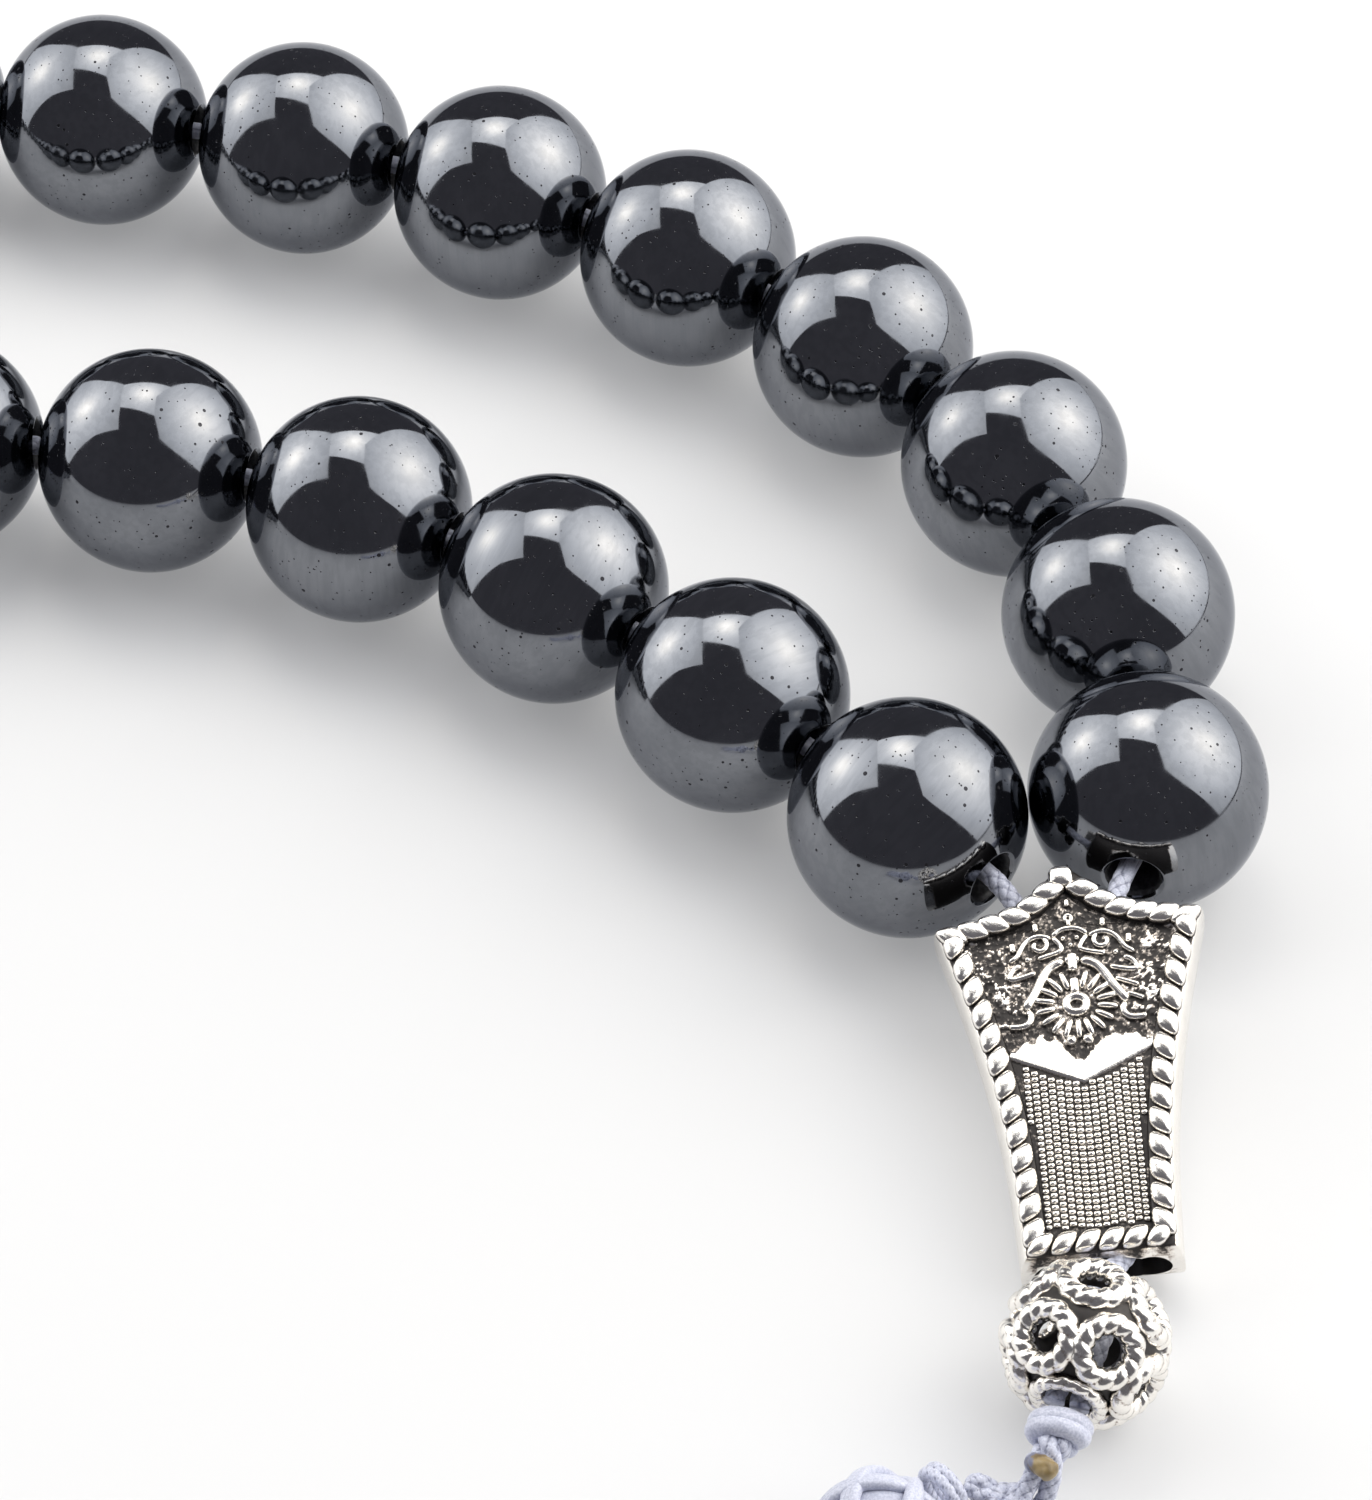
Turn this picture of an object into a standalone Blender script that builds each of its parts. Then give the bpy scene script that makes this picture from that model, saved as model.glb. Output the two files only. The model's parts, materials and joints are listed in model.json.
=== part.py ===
"""A string of misbaha prayer beads laid on a table, modelled in metres with +Z up.

Thirty-three drilled stone beads and two metal dividers ride on one closed loop of cord. Both ends of
the cord run down through the imam, the flat leader bead, and through an openwork ball, and are held
by a stopper knot. A knotted drop and a tassel hang from that knot.

Everything is placed in the layout's own frame, whose origin is under the open end of the loop, and
the empty misbaha_origin carries that frame so that the part's origin is the middle of its footprint.
"""

from math import acos, cos, pi, radians, sin, sqrt

import bmesh
import bpy
import numpy as np
from mathutils import Euler, Matrix, Vector

# where the layout's frame sits in the part's frame
LAYOUT_ORIGIN = (0.06344, 0.01180, 0.0)

# beads and dividers
BEAD_RADIUS = 0.0060
BEAD_BORE_RADIUS = 0.00125
BEAD_COUNTERSINK_RADIUS = 0.00165
BEAD_COUNTERSINK_DEPTH = 0.0004
BEAD_GAP = 0.0001
BEADS_IN_GROUP = 11
DIVIDER_RADIUS = 0.0045
DIVIDER_LENGTH = 0.0040
DIVIDER_CROWN = 0.0012
SLACK_AFTER_BEAD = 9  # the slack of the loop lies between this bead and the next

# stringing cord
CORD_RADIUS = 0.0005
CORD_STEP_IN_BEADS = 0.0040
CORD_STEP_IN_BENDS = 0.0010
CORD_BEND_REACH = 0.0180  # from the knot, this much of each tail is drawn in short steps

# imam: a flat cast body, its outline given as half widths up from the bottom end
IMAM_LOCATION = (0.01791, -0.03059, 0.0038)  # middle of the front face's bottom edge
IMAM_TILT = radians(12.5)
IMAM_ROLL = radians(-5.0)
IMAM_SIDE = (
    (0.00355, 0.0),
    (0.00365, 0.0025),
    (0.00380, 0.0050),
    (0.00415, 0.0080),
    (0.00465, 0.0108),
    (0.00525, 0.0134),
    (0.00590, 0.0157),
    (0.00640, 0.0174),
)
IMAM_ROOF = ((0.00400, 0.0179), (0.00240, 0.01845), (0.00120, 0.01935), (0.0, 0.0204))
IMAM_THICKNESS = 0.0035
IMAM_SIDE_BULGE = 0.0003
IMAM_BORDER_WIDTH = 0.0011
IMAM_FIELD_DEPTH = 0.0003
IMAM_CHANNEL_X = 0.00225
IMAM_BACK_INSET = 0.0003
IMAM_CHANNEL_RADIUS = 0.00100
IMAM_MOUTH_HALF_WIDTH = 0.00275  # the oval mouth at the bottom, which both strands enter
IMAM_MOUTH_SQUASH = 0.45  # its height over its width
IMAM_MOUTH_DEPTH = 0.0028

# openwork ball: an oblate shell with a row of round windows in each half
BALL_CENTRE = (0.01663, -0.03586, 0.0041)
BALL_AXIS = (-0.347, -0.934, -0.080)  # from the imam towards the stopper knot
BALL_RADIUS = 0.00395
BALL_HALF_LENGTH = 0.0036
BALL_WALL = 0.0007
BALL_BORE_RADIUS = 0.00136
BALL_COLLAR_RADIUS = 0.00185
BALL_COLLAR_DRAFT = 0.0001
BALL_COLLAR_FACE = 0.0033
BALL_WINDOWS_IN_ROW = 6
BALL_WINDOW_RADIUS = 0.00072
BALL_WINDOW_LATITUDE = radians(29.0)
TAIL_OFFSET = 0.0006  # each tail from the ball's axis

# stopper knot, drop and tassel
KNOT_AHEAD = 0.0046  # from the ball's centre along its axis
KNOT_HALF_SIZE = (0.0015, 0.00125, 0.0010)
KNOT_CLEARANCE = 0.0003
DROP_ROUTE = (
    (0.01435, -0.04150, 0.0031),
    (0.01385, -0.04215, 0.0023),
    (0.01300, -0.04270, 0.0017),
    (0.01190, -0.04260, 0.0021),
    (0.01080, -0.04200, 0.0030),
)
DROP_RADII = (0.0008, 0.0011, 0.0012, 0.0010, 0.0006)
HEAD_CENTRE = (0.00660, -0.04500, 0.0033)
HEAD_AXIS = (-0.80, -0.60, 0.0)  # away from the drop
HEAD_RADIUS = 0.0032
COLLAR_BACK = 0.0034  # from the head's centre to the collar's near face
COLLAR_LENGTH = 0.0007
COLLAR_RADIUS = 0.0014
BINDING_AHEAD = 0.0035
BINDING_LENGTH = 0.0030
BINDING_RADIUS = 0.0021
SKIRT_AHEAD = 0.0068
SKIRT_ROUTE = (
    (-0.00220, -0.05200),
    (-0.00520, -0.05600),
    (-0.00760, -0.06150),
    (-0.00920, -0.06800),
    (-0.01020, -0.07500),
    (-0.01090, -0.08300),
    (-0.01140, -0.09100),
)
SKIRT_START = (0.0019, 0.0019)  # half width and half height
SKIRT_END = (0.0052, 0.0021)

# where each strand leaves the imam for its first bead
STRAND_LEAVES_LEFT = (0.01380, -0.00860, 0.0062)
STRAND_LEAVES_RIGHT = (0.02170, -0.00870, 0.0062)

# the loop as it lies, at the beads' centre height: from the imam's left, round its far end and back
LOOP_ROUTE = (
    (0.01082, -0.00526),
    (0.00292, 0.00320),
    (-0.00575, 0.01140),
    (-0.01600, 0.01820),
    (-0.02700, 0.02280),
    (-0.03880, 0.02530),
    (-0.05090, 0.02570),
    (-0.06300, 0.02420),
    (-0.07500, 0.02120),
    (-0.09260, 0.01780),
    (-0.10460, 0.01450),
    (-0.11680, 0.01240),
    (-0.12890, 0.01250),
    (-0.13970, 0.01650),
    (-0.14730, 0.02450),
    (-0.15040, 0.03540),
    (-0.14830, 0.04640),
    (-0.14140, 0.05520),
    (-0.13120, 0.06030),
    (-0.11940, 0.06190),
    (-0.10720, 0.06150),
    (-0.09510, 0.06030),
    (-0.08300, 0.05890),
    (-0.06560, 0.05740),
    (-0.05500, 0.05580),
    (-0.04370, 0.05380),
    (-0.03200, 0.05110),
    (-0.02005, 0.04765),
    (-0.00880, 0.04290),
    (0.00160, 0.03660),
    (0.01085, 0.02870),
    (0.01835, 0.01915),
    (0.02275, 0.00775),
    (0.02325, -0.00455),
)


# ---------------------------------------------------------------- helpers


def clear_scene():
    for obj in list(bpy.data.objects):
        bpy.data.objects.remove(obj, do_unlink=True)


def material(name, colour, roughness, metallic):
    made = bpy.data.materials.new(name)
    made.use_nodes = True
    shader = made.node_tree.nodes["Principled BSDF"]
    shader.inputs["Base Color"].default_value = (*colour, 1.0)
    shader.inputs["Roughness"].default_value = roughness
    shader.inputs["Metallic"].default_value = metallic
    return made


def add_object(name, data, surface, parent):
    obj = bpy.data.objects.new(name, data)
    bpy.context.scene.collection.objects.link(obj)
    if surface is not None and not data.materials:
        data.materials.append(surface)
    obj.parent = parent
    return obj


def add_empty(name, location):
    empty = bpy.data.objects.new(name, None)
    empty.location = location
    bpy.context.scene.collection.objects.link(empty)
    return empty


def mesh_from(bm, name):
    bmesh.ops.recalc_face_normals(bm, faces=bm.faces)
    mesh = bpy.data.meshes.new(name)
    bm.to_mesh(mesh)
    bm.free()
    mesh.shade_smooth()
    mesh.set_sharp_from_angle(angle=radians(40))
    return mesh


def bridge_rings(bm, rings, closed):
    """Side faces between rings of equal length; if closed, also from the last ring to the first."""
    count = len(rings[0])
    pairs = list(zip(rings, rings[1:]))
    if closed:
        pairs.append((rings[-1], rings[0]))
    for lower, upper in pairs:
        for i in range(count):
            j = (i + 1) % count
            bm.faces.new((lower[i], lower[j], upper[j], upper[i]))


def turned_mesh(name, profile, segments):
    """A closed profile of (radius, height) points turned about local Z."""
    bm = bmesh.new()
    rings = []
    for radius, height in profile:
        turn = [2 * pi * i / segments for i in range(segments)]
        rings.append([bm.verts.new((radius * cos(a), radius * sin(a), height)) for a in turn])
    bridge_rings(bm, rings, closed=True)
    return mesh_from(bm, name)


def lofted_mesh(name, sections):
    """A solid through cross-sections of equal point count, capped at both ends."""
    bm = bmesh.new()
    rings = [[bm.verts.new(point) for point in section] for section in sections]
    bridge_rings(bm, rings, closed=False)
    bm.faces.new(reversed(rings[0]))
    bm.faces.new(rings[-1])
    return mesh_from(bm, name)


def spline_through(points, at):
    """Points at the given distances along the natural cubic spline through a list of points."""
    points = np.array(points, float)
    knots = np.concatenate([[0.0], np.cumsum(np.linalg.norm(np.diff(points, axis=0), axis=1))])
    steps = np.diff(knots)
    slopes = np.diff(points, axis=0) / steps[:, None]
    system = np.eye(len(points))
    right = np.zeros_like(points)
    for i in range(1, len(points) - 1):
        system[i, i - 1 : i + 2] = steps[i - 1], 2 * (steps[i - 1] + steps[i]), steps[i]
        right[i] = 6 * (slopes[i] - slopes[i - 1])
    bend = np.linalg.solve(system, right)
    at = np.clip(at, 0.0, knots[-1])
    i = np.clip(np.searchsorted(knots, at, side="right") - 1, 0, len(steps) - 1)
    step = steps[i][:, None]
    after = (at - knots[i])[:, None]
    before = step - after
    curved = bend[i] * before**3 + bend[i + 1] * after**3
    straight = (points[i] / step - bend[i] * step / 6) * before
    straight += (points[i + 1] / step - bend[i + 1] * step / 6) * after
    return curved / (6 * step) + straight, knots


def axis_matrix(centre, axis, down=(0.0, 0.0, -1.0)):
    """Local Z along the axis, and local X as near to straight down as that allows."""
    z = Vector(axis).normalized()
    y = z.cross(Vector(down)).normalized()
    turned = Matrix((y.cross(z), y, z)).transposed().to_4x4()
    turned.translation = Vector(centre)
    return turned


def tube(name, points, radius, surface, parent, radii=None):
    """A round cord as a curve object with filled ends."""
    curve = bpy.data.curves.new(name, "CURVE")
    curve.dimensions = "3D"
    curve.bevel_depth = radius
    curve.bevel_resolution = 2
    curve.use_fill_caps = True
    spline = curve.splines.new("POLY")
    spline.points.add(len(points) - 1)
    for i, (target, point) in enumerate(zip(spline.points, points)):
        target.co = (*point, 1.0)
        target.radius = radii[i] / radius if radii is not None else 1.0
    return add_object(name, curve, surface, parent)


def cut(obj, cutters):
    """Takes one helper mesh after another out of an object, and leaves the helpers as guides."""
    for i, cutter in enumerate(cutters):
        cutter.hide_render = True
        cutter.display_type = "WIRE"
        modifier = obj.modifiers.new(f"cut_{i + 1}", "BOOLEAN")
        modifier.operation = "DIFFERENCE"
        modifier.solver = "EXACT"
        modifier.object = cutter


# ---------------------------------------------------------------- beads and dividers


def bead_mesh(surface):
    """A drilled ball whose holes open in a small countersink."""
    arc_steps = 8
    rim = acos(BEAD_COUNTERSINK_RADIUS / BEAD_RADIUS)
    turn = [-rim + 2 * rim * i / arc_steps for i in range(arc_steps + 1)]
    outer = [(BEAD_RADIUS * cos(a), BEAD_RADIUS * sin(a)) for a in turn]
    throat = BEAD_RADIUS * sin(rim) - BEAD_COUNTERSINK_DEPTH
    inner = [(BEAD_BORE_RADIUS, throat), (BEAD_BORE_RADIUS, -throat)]
    mesh = turned_mesh("bead", outer + inner, segments=12)
    mesh.materials.append(surface)
    return mesh


def divider_mesh(surface):
    """A thin turned disc with a crowned rim."""
    half = DIVIDER_LENGTH / 2
    flat_radius = DIVIDER_RADIUS - DIVIDER_CROWN
    turn = [-pi / 2 + pi * i / 6 for i in range(7)]
    outer = [(flat_radius + DIVIDER_CROWN * cos(a), half * sin(a)) for a in turn]
    inner = [(BEAD_BORE_RADIUS, half), (BEAD_BORE_RADIUS, -half)]
    mesh = turned_mesh("divider", outer + inner, segments=16)
    mesh.materials.append(surface)
    return mesh


class Strand:
    """The stringing cord's path, and the places of what is threaded on it."""

    def __init__(self, route):
        samples = 6000
        _, knots = spline_through(route, np.zeros(1))
        dense, _ = spline_through(route, np.linspace(0.0, knots[-1], samples))
        self.points = dense
        lengths = np.linalg.norm(np.diff(dense, axis=0), axis=1)
        self.distance = np.concatenate([[0.0], np.cumsum(lengths)])

    def point(self, distance):
        return np.array([np.interp(distance, self.distance, self.points[:, k]) for k in range(3)])

    def nearest(self, place):
        return self.distance[np.argmin(np.linalg.norm(self.points - np.array(place), axis=1))]

    def seat(self, distance, reach):
        """Centre and axis of a piece threaded here, so that a curved cord stays inside its bore."""
        back, here, ahead = (self.point(distance + side * reach) for side in (-1, 0, 1))
        centre = (here + (back + ahead) / 2) / 2
        axis = (ahead - back) * (1, 1, 0)
        return np.array((*centre[:2], BEAD_RADIUS)), axis / np.linalg.norm(axis)

    def next_seat(self, distance, reach, pitch, way, next_reach):
        """The distance at which the next piece touches the one at this distance."""
        centre = self.seat(distance, reach)[0]
        low, high = 0.5 * pitch, 1.6 * pitch
        for _ in range(40):
            middle = (low + high) / 2
            apart = np.linalg.norm(self.seat(distance + way * middle, next_reach)[0] - centre)
            low, high = (middle, high) if apart < pitch else (low, middle)
        return distance + way * middle


def threaded_names():
    """Beads and dividers in their order on the cord, from the imam's left."""
    names = []
    for group in range(3):
        names += [f"bead_{group * BEADS_IN_GROUP + i + 1:02d}" for i in range(BEADS_IN_GROUP)]
        if group < 2:
            names.append(f"divider_{group + 1}")
    return names


def half_length(name):
    return BEAD_RADIUS if name.startswith("bead") else DIVIDER_LENGTH / 2


def seats_on(strand):
    """Centre and axis of each threaded piece: two touching runs, with the slack between them."""
    z = (BEAD_RADIUS,)
    names = threaded_names()
    split = names.index(f"bead_{SLACK_AFTER_BEAD:02d}") + 1
    seats = {}
    for run, start, way in (
        (names[:split], LOOP_ROUTE[0] + z, 1),
        (names[:split - 1:-1], LOOP_ROUTE[-1] + z, -1),
    ):
        distance = strand.nearest(start)
        before = None
        for name in run:
            if before is not None:
                pitch = half_length(before) + half_length(name) + BEAD_GAP
                reaches = half_length(before), half_length(name)
                distance = strand.next_seat(distance, reaches[0], pitch, way, reaches[1])
            seats[name] = strand.seat(distance, half_length(name))
            before = name
    return seats


def add_threaded(strand, stone, silver, parent):
    meshes = {"bead": bead_mesh(stone), "divider": divider_mesh(silver)}
    for name, (centre, axis) in seats_on(strand).items():
        obj = add_object(name, meshes[name.split("_")[0]], None, parent)
        obj.matrix_local = axis_matrix(centre, axis)


# ---------------------------------------------------------------- imam


def imam_matrix():
    turned = Euler((IMAM_TILT, IMAM_ROLL, 0.0), "ZYX").to_matrix().to_4x4()
    turned.translation = Vector(IMAM_LOCATION)
    return turned


def imam_outline():
    """The front face's outline, anticlockwise from the bottom right corner."""
    right = IMAM_SIDE + IMAM_ROOF
    return [Vector(p) for p in right] + [Vector((-x, y)) for x, y in reversed(right[:-1])]


def grown(outline, distance):
    """The outline moved outwards by a distance, with mitred corners no longer than three times it."""
    moved = []
    least_cosine = 0.35
    for i, here in enumerate(outline):
        before = (here - outline[i - 1]).normalized()
        after = (outline[(i + 1) % len(outline)] - here).normalized()
        sides = Vector((before.y, -before.x)), Vector((after.y, -after.x))
        mitre = (sides[0] + sides[1]).normalized()
        moved.append(here + mitre * distance / max(mitre.dot(sides[0]), least_cosine))
    return moved


def round_cutter(name, radius, length, parent, squash=1.0, segments=12):
    """A closed cylinder along local Y, squash times as tall as it is wide."""
    turn = [2 * pi * i / segments for i in range(segments)]
    ends = (0.0, length)
    rings = [[(radius * cos(a), y, squash * radius * sin(a)) for a in turn] for y in ends]
    return add_object(name, lofted_mesh(name, rings), None, parent)


def add_imam(silver, parent):
    outline = imam_outline()
    levels = (
        (grown(outline, -IMAM_BACK_INSET), -IMAM_THICKNESS),
        (grown(outline, IMAM_SIDE_BULGE), -0.8 * IMAM_THICKNESS),
        (grown(outline, IMAM_SIDE_BULGE), -0.3 * IMAM_THICKNESS),
        (outline, 0.0),
        (grown(outline, -IMAM_BORDER_WIDTH), 0.0),
        (grown(outline, -IMAM_BORDER_WIDTH), -IMAM_FIELD_DEPTH),
    )
    sections = [[(p.x, p.y, z) for p in points] for points, z in levels]
    imam = add_object("imam", lofted_mesh("imam", sections), silver, parent)
    imam.matrix_local = imam_matrix()
    cutters = []
    middle = -IMAM_THICKNESS / 2
    below = 0.002  # the cutters start this far under the bottom end
    through = IMAM_ROOF[-1][1] + 2 * below
    for side, name in ((-1, "left"), (1, "right")):
        channel = round_cutter(f"channel_cutter_{name}", IMAM_CHANNEL_RADIUS, through, parent)
        start = Matrix.Translation((side * IMAM_CHANNEL_X, -below, middle))
        channel.matrix_local = imam_matrix() @ start
        cutters.append(channel)
    mouth = round_cutter(
        "mouth_cutter",
        IMAM_MOUTH_HALF_WIDTH,
        below + IMAM_MOUTH_DEPTH,
        parent,
        squash=IMAM_MOUTH_SQUASH,
        segments=20,
    )
    mouth.matrix_local = imam_matrix() @ Matrix.Translation((0.0, -below, middle))
    cutters.append(mouth)
    cut(imam, cutters)


# ---------------------------------------------------------------- openwork ball


def ball_matrix():
    return axis_matrix(BALL_CENTRE, BALL_AXIS)


def ball_profile():
    """The shell's wall as (radius, height) points, from the lower collar round to itself."""
    steps = 8
    rim = acos(BALL_COLLAR_RADIUS / BALL_RADIUS)
    turn = [-rim + 2 * rim * i / steps for i in range(steps + 1)]
    outer = [(BALL_RADIUS * cos(a), BALL_HALF_LENGTH * sin(a)) for a in turn]
    inner_radius = BALL_RADIUS - BALL_WALL
    inner_half = BALL_HALF_LENGTH - BALL_WALL
    inner_rim = acos(BALL_BORE_RADIUS / inner_radius)
    back = [inner_rim - 2 * inner_rim * i / steps for i in range(steps + 1)]
    inner = [(inner_radius * cos(a), inner_half * sin(a)) for a in back]
    face = BALL_COLLAR_FACE
    collar_radius = BALL_COLLAR_RADIUS - BALL_COLLAR_DRAFT
    top = [(collar_radius, face), (BALL_BORE_RADIUS, face)]
    bottom = [(BALL_BORE_RADIUS, -face), (collar_radius, -face)]
    return outer + top + inner + bottom


def add_ball(silver, parent):
    ball = add_object("openwork_ball", turned_mesh("openwork_ball", ball_profile(), 18), silver, parent)
    ball.matrix_local = ball_matrix()
    cutters = []
    for row in (-1, 1):
        for i in range(BALL_WINDOWS_IN_ROW):
            turn = 2 * pi * (i - 0.25 * row + 0.25) / BALL_WINDOWS_IN_ROW
            name = f"window_cutter_{'upper' if row > 0 else 'lower'}_{i + 1}"
            window = round_cutter(name, BALL_WINDOW_RADIUS, 0.0040, parent, segments=8)
            aim = Matrix.Rotation(turn, 4, "Z") @ Matrix.Rotation(row * BALL_WINDOW_LATITUDE, 4, "X")
            window.matrix_local = ball_matrix() @ aim @ Matrix.Translation((0.0, 0.0020, 0.0))
            cutters.append(window)
    cut(ball, cutters)


# ---------------------------------------------------------------- cord, knot and tassel


def cord_route():
    """The whole cord: knot, ball, imam's left channel, round the loop, right channel, ball, knot."""
    middle = -IMAM_THICKNESS / 2
    ball = ball_matrix()
    imam = imam_matrix()
    tails = []
    for side in (-1, 1):
        aside = -side * TAIL_OFFSET
        knot_end = KNOT_AHEAD - KNOT_HALF_SIZE[2] - KNOT_CLEARANCE
        in_ball = [ball @ Vector((0.0, aside, z)) for z in (knot_end, 0.0005, -0.0024)]
        rises = (0.0008, 0.0045, 0.0100, 0.0150, 0.0185)
        drawn_in = (0.0009, 0.0001, 0.0, 0.0, 0.0)
        in_imam = [
            imam @ Vector((side * (IMAM_CHANNEL_X - inwards), y, middle))
            for y, inwards in zip(rises, drawn_in)
        ]
        tails.append([tuple(point) for point in in_ball + in_imam])
    loop = [(x, y, BEAD_RADIUS) for x, y in LOOP_ROUTE]
    around = [STRAND_LEAVES_LEFT] + loop + [STRAND_LEAVES_RIGHT]
    return tails[0] + around + tails[1][::-1]


def cord_points(strand):
    """Points along the strand: close together in the tails' bends, further apart in the beads."""
    length = strand.distance[-1]
    bends = 2 * CORD_BEND_REACH
    tail = np.arange(0.0, bends, CORD_STEP_IN_BENDS)
    steps = int((length - 2 * bends) / CORD_STEP_IN_BEADS)
    along = np.concatenate([tail, np.linspace(bends, length - bends, steps), length - tail[::-1]])
    return [tuple(strand.point(distance)) for distance in along]


def add_knot(thread, parent):
    """The stopper knot, wider than it is long, square to the ball's axis."""
    bm = bmesh.new()
    bmesh.ops.create_uvsphere(bm, u_segments=14, v_segments=8, radius=1.0)
    bmesh.ops.scale(bm, vec=(KNOT_HALF_SIZE[1], KNOT_HALF_SIZE[0], KNOT_HALF_SIZE[2]), verts=bm.verts)
    knot = add_object("stopper_knot", mesh_from(bm, "stopper_knot"), thread, parent)
    knot.matrix_local = ball_matrix() @ Matrix.Translation((0.0, 0.0, KNOT_AHEAD))


def add_drop(thread, parent):
    """The short knotted drop between the stopper knot and the tassel."""
    _, knots = spline_through(DROP_ROUTE, np.zeros(1))
    along = np.linspace(0.0, knots[-1], 13)
    points, _ = spline_through(DROP_ROUTE, along)
    radii = np.interp(along, knots, DROP_RADII)
    tube("drop_braid", points, max(DROP_RADII), thread, parent, radii)


def ring_section(centre, along, half_width, half_height, segments=14):
    """A flat oval ring of points square to a horizontal direction."""
    across = Vector((-along[1], along[0], 0.0)).normalized()
    turn = [2 * pi * i / segments for i in range(segments)]
    up = Vector((0.0, 0.0, 1.0))
    return [
        tuple(Vector(centre) + across * half_width * cos(a) + up * half_height * sin(a)) for a in turn
    ]


def add_head(thread, parent):
    bm = bmesh.new()
    bmesh.ops.create_uvsphere(bm, u_segments=16, v_segments=10, radius=HEAD_RADIUS)
    head = add_object("tassel_head", mesh_from(bm, "tassel_head"), thread, parent)
    head.matrix_local = axis_matrix(HEAD_CENTRE, HEAD_AXIS)


def add_round_wrap(name, start, length, radius, thread, parent):
    """A short round wrap of thread on the head's axis, from start along that axis."""
    places = (start, start + 0.15 * length, start + 0.85 * length, start + length)
    radii = (0.85 * radius, radius, radius, 0.85 * radius)
    sections = []
    for place, size in zip(places, radii):
        centre = Vector(HEAD_CENTRE) + Vector(HEAD_AXIS) * place
        sections.append(ring_section(centre, HEAD_AXIS, size, size))
    add_object(name, lofted_mesh(name, sections), thread, parent)


def add_skirt(thread, parent):
    """The skirt of threads as one curved, flaring, flattening bundle that comes down to the table."""
    start = Vector(HEAD_CENTRE) + Vector(HEAD_AXIS) * SKIRT_AHEAD
    route = [(start.x, start.y)] + list(SKIRT_ROUTE)
    _, knots = spline_through(route, np.zeros(1))
    along = np.linspace(0.0, knots[-1], 15)
    points, _ = spline_through(route, along)
    headings = np.gradient(points, axis=0)
    sections = []
    for point, heading, share in zip(points, headings, along / along[-1]):
        spread = share**0.7
        half_width = SKIRT_START[0] + (SKIRT_END[0] - SKIRT_START[0]) * spread
        half_height = SKIRT_START[1] + (SKIRT_END[1] - SKIRT_START[1]) * share
        drop = min(1.0, 3.0 * share)
        height = (1.0 - drop) * HEAD_CENTRE[2] + drop * half_height
        sections.append(ring_section((point[0], point[1], height), heading, half_width, half_height))
    add_object("tassel_skirt", lofted_mesh("tassel_skirt", sections), thread, parent)


# ---------------------------------------------------------------- whole part


def main():
    clear_scene()
    origin = add_empty("misbaha_origin", LAYOUT_ORIGIN)
    stone = material("hematite", (0.055, 0.058, 0.066), 0.06, 0.85)
    silver = material("antiqued_silver", (0.62, 0.60, 0.56), 0.28, 1.0)
    thread = material("grey_lilac_thread", (0.42, 0.42, 0.52), 0.85, 0.0)
    strand = Strand(cord_route())
    add_threaded(strand, stone, silver, origin)
    add_imam(silver, origin)
    add_ball(silver, origin)
    tube("stringing_cord", cord_points(strand), CORD_RADIUS, thread, origin)
    add_knot(thread, origin)
    add_drop(thread, origin)
    collar_start = -COLLAR_BACK - COLLAR_LENGTH
    add_round_wrap("tassel_collar", collar_start, COLLAR_LENGTH, COLLAR_RADIUS, thread, origin)
    add_head(thread, origin)
    add_round_wrap("tassel_binding", BINDING_AHEAD, BINDING_LENGTH, BINDING_RADIUS, thread, origin)
    add_skirt(thread, origin)


main()
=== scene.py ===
"""The looks of the misbaha: polished hematite beads, antiqued silver castings and braided thread.

Every piece is built in metres in the CAD frame and rides on its CAD body.
"""

import json
from functools import cached_property
from math import cos, pi, radians, sin

import bpy
import numpy as np
from mathutils import Matrix, Vector

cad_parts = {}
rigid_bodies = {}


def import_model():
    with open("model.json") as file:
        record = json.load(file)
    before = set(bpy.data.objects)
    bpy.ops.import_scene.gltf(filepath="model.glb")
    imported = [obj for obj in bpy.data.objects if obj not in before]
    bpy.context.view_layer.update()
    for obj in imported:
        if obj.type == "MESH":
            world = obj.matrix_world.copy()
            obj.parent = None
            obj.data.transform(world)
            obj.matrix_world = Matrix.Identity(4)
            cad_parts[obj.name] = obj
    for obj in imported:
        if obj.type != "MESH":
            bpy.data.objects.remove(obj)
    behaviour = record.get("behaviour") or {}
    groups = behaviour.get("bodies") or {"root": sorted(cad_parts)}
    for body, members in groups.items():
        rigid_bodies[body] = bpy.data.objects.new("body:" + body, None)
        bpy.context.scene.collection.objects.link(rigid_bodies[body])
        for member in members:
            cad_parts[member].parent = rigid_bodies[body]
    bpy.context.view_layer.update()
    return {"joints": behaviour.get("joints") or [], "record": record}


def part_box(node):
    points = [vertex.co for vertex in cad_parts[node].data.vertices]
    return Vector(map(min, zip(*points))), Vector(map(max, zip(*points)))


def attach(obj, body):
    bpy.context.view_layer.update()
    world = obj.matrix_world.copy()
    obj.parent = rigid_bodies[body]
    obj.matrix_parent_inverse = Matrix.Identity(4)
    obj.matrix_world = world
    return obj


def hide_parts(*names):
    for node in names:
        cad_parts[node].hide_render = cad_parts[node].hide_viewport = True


for startup_object in list(bpy.data.objects):
    bpy.data.objects.remove(startup_object, do_unlink=True)
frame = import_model()
JOINTS = {joint["name"]: joint for joint in frame["joints"]}
MM = 0.001
UP = Vector((0.0, 0.0, 1.0))
FACE_AXES = Matrix.Identity(3)  # right, up and out of the imam's face, in its own frame

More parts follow.
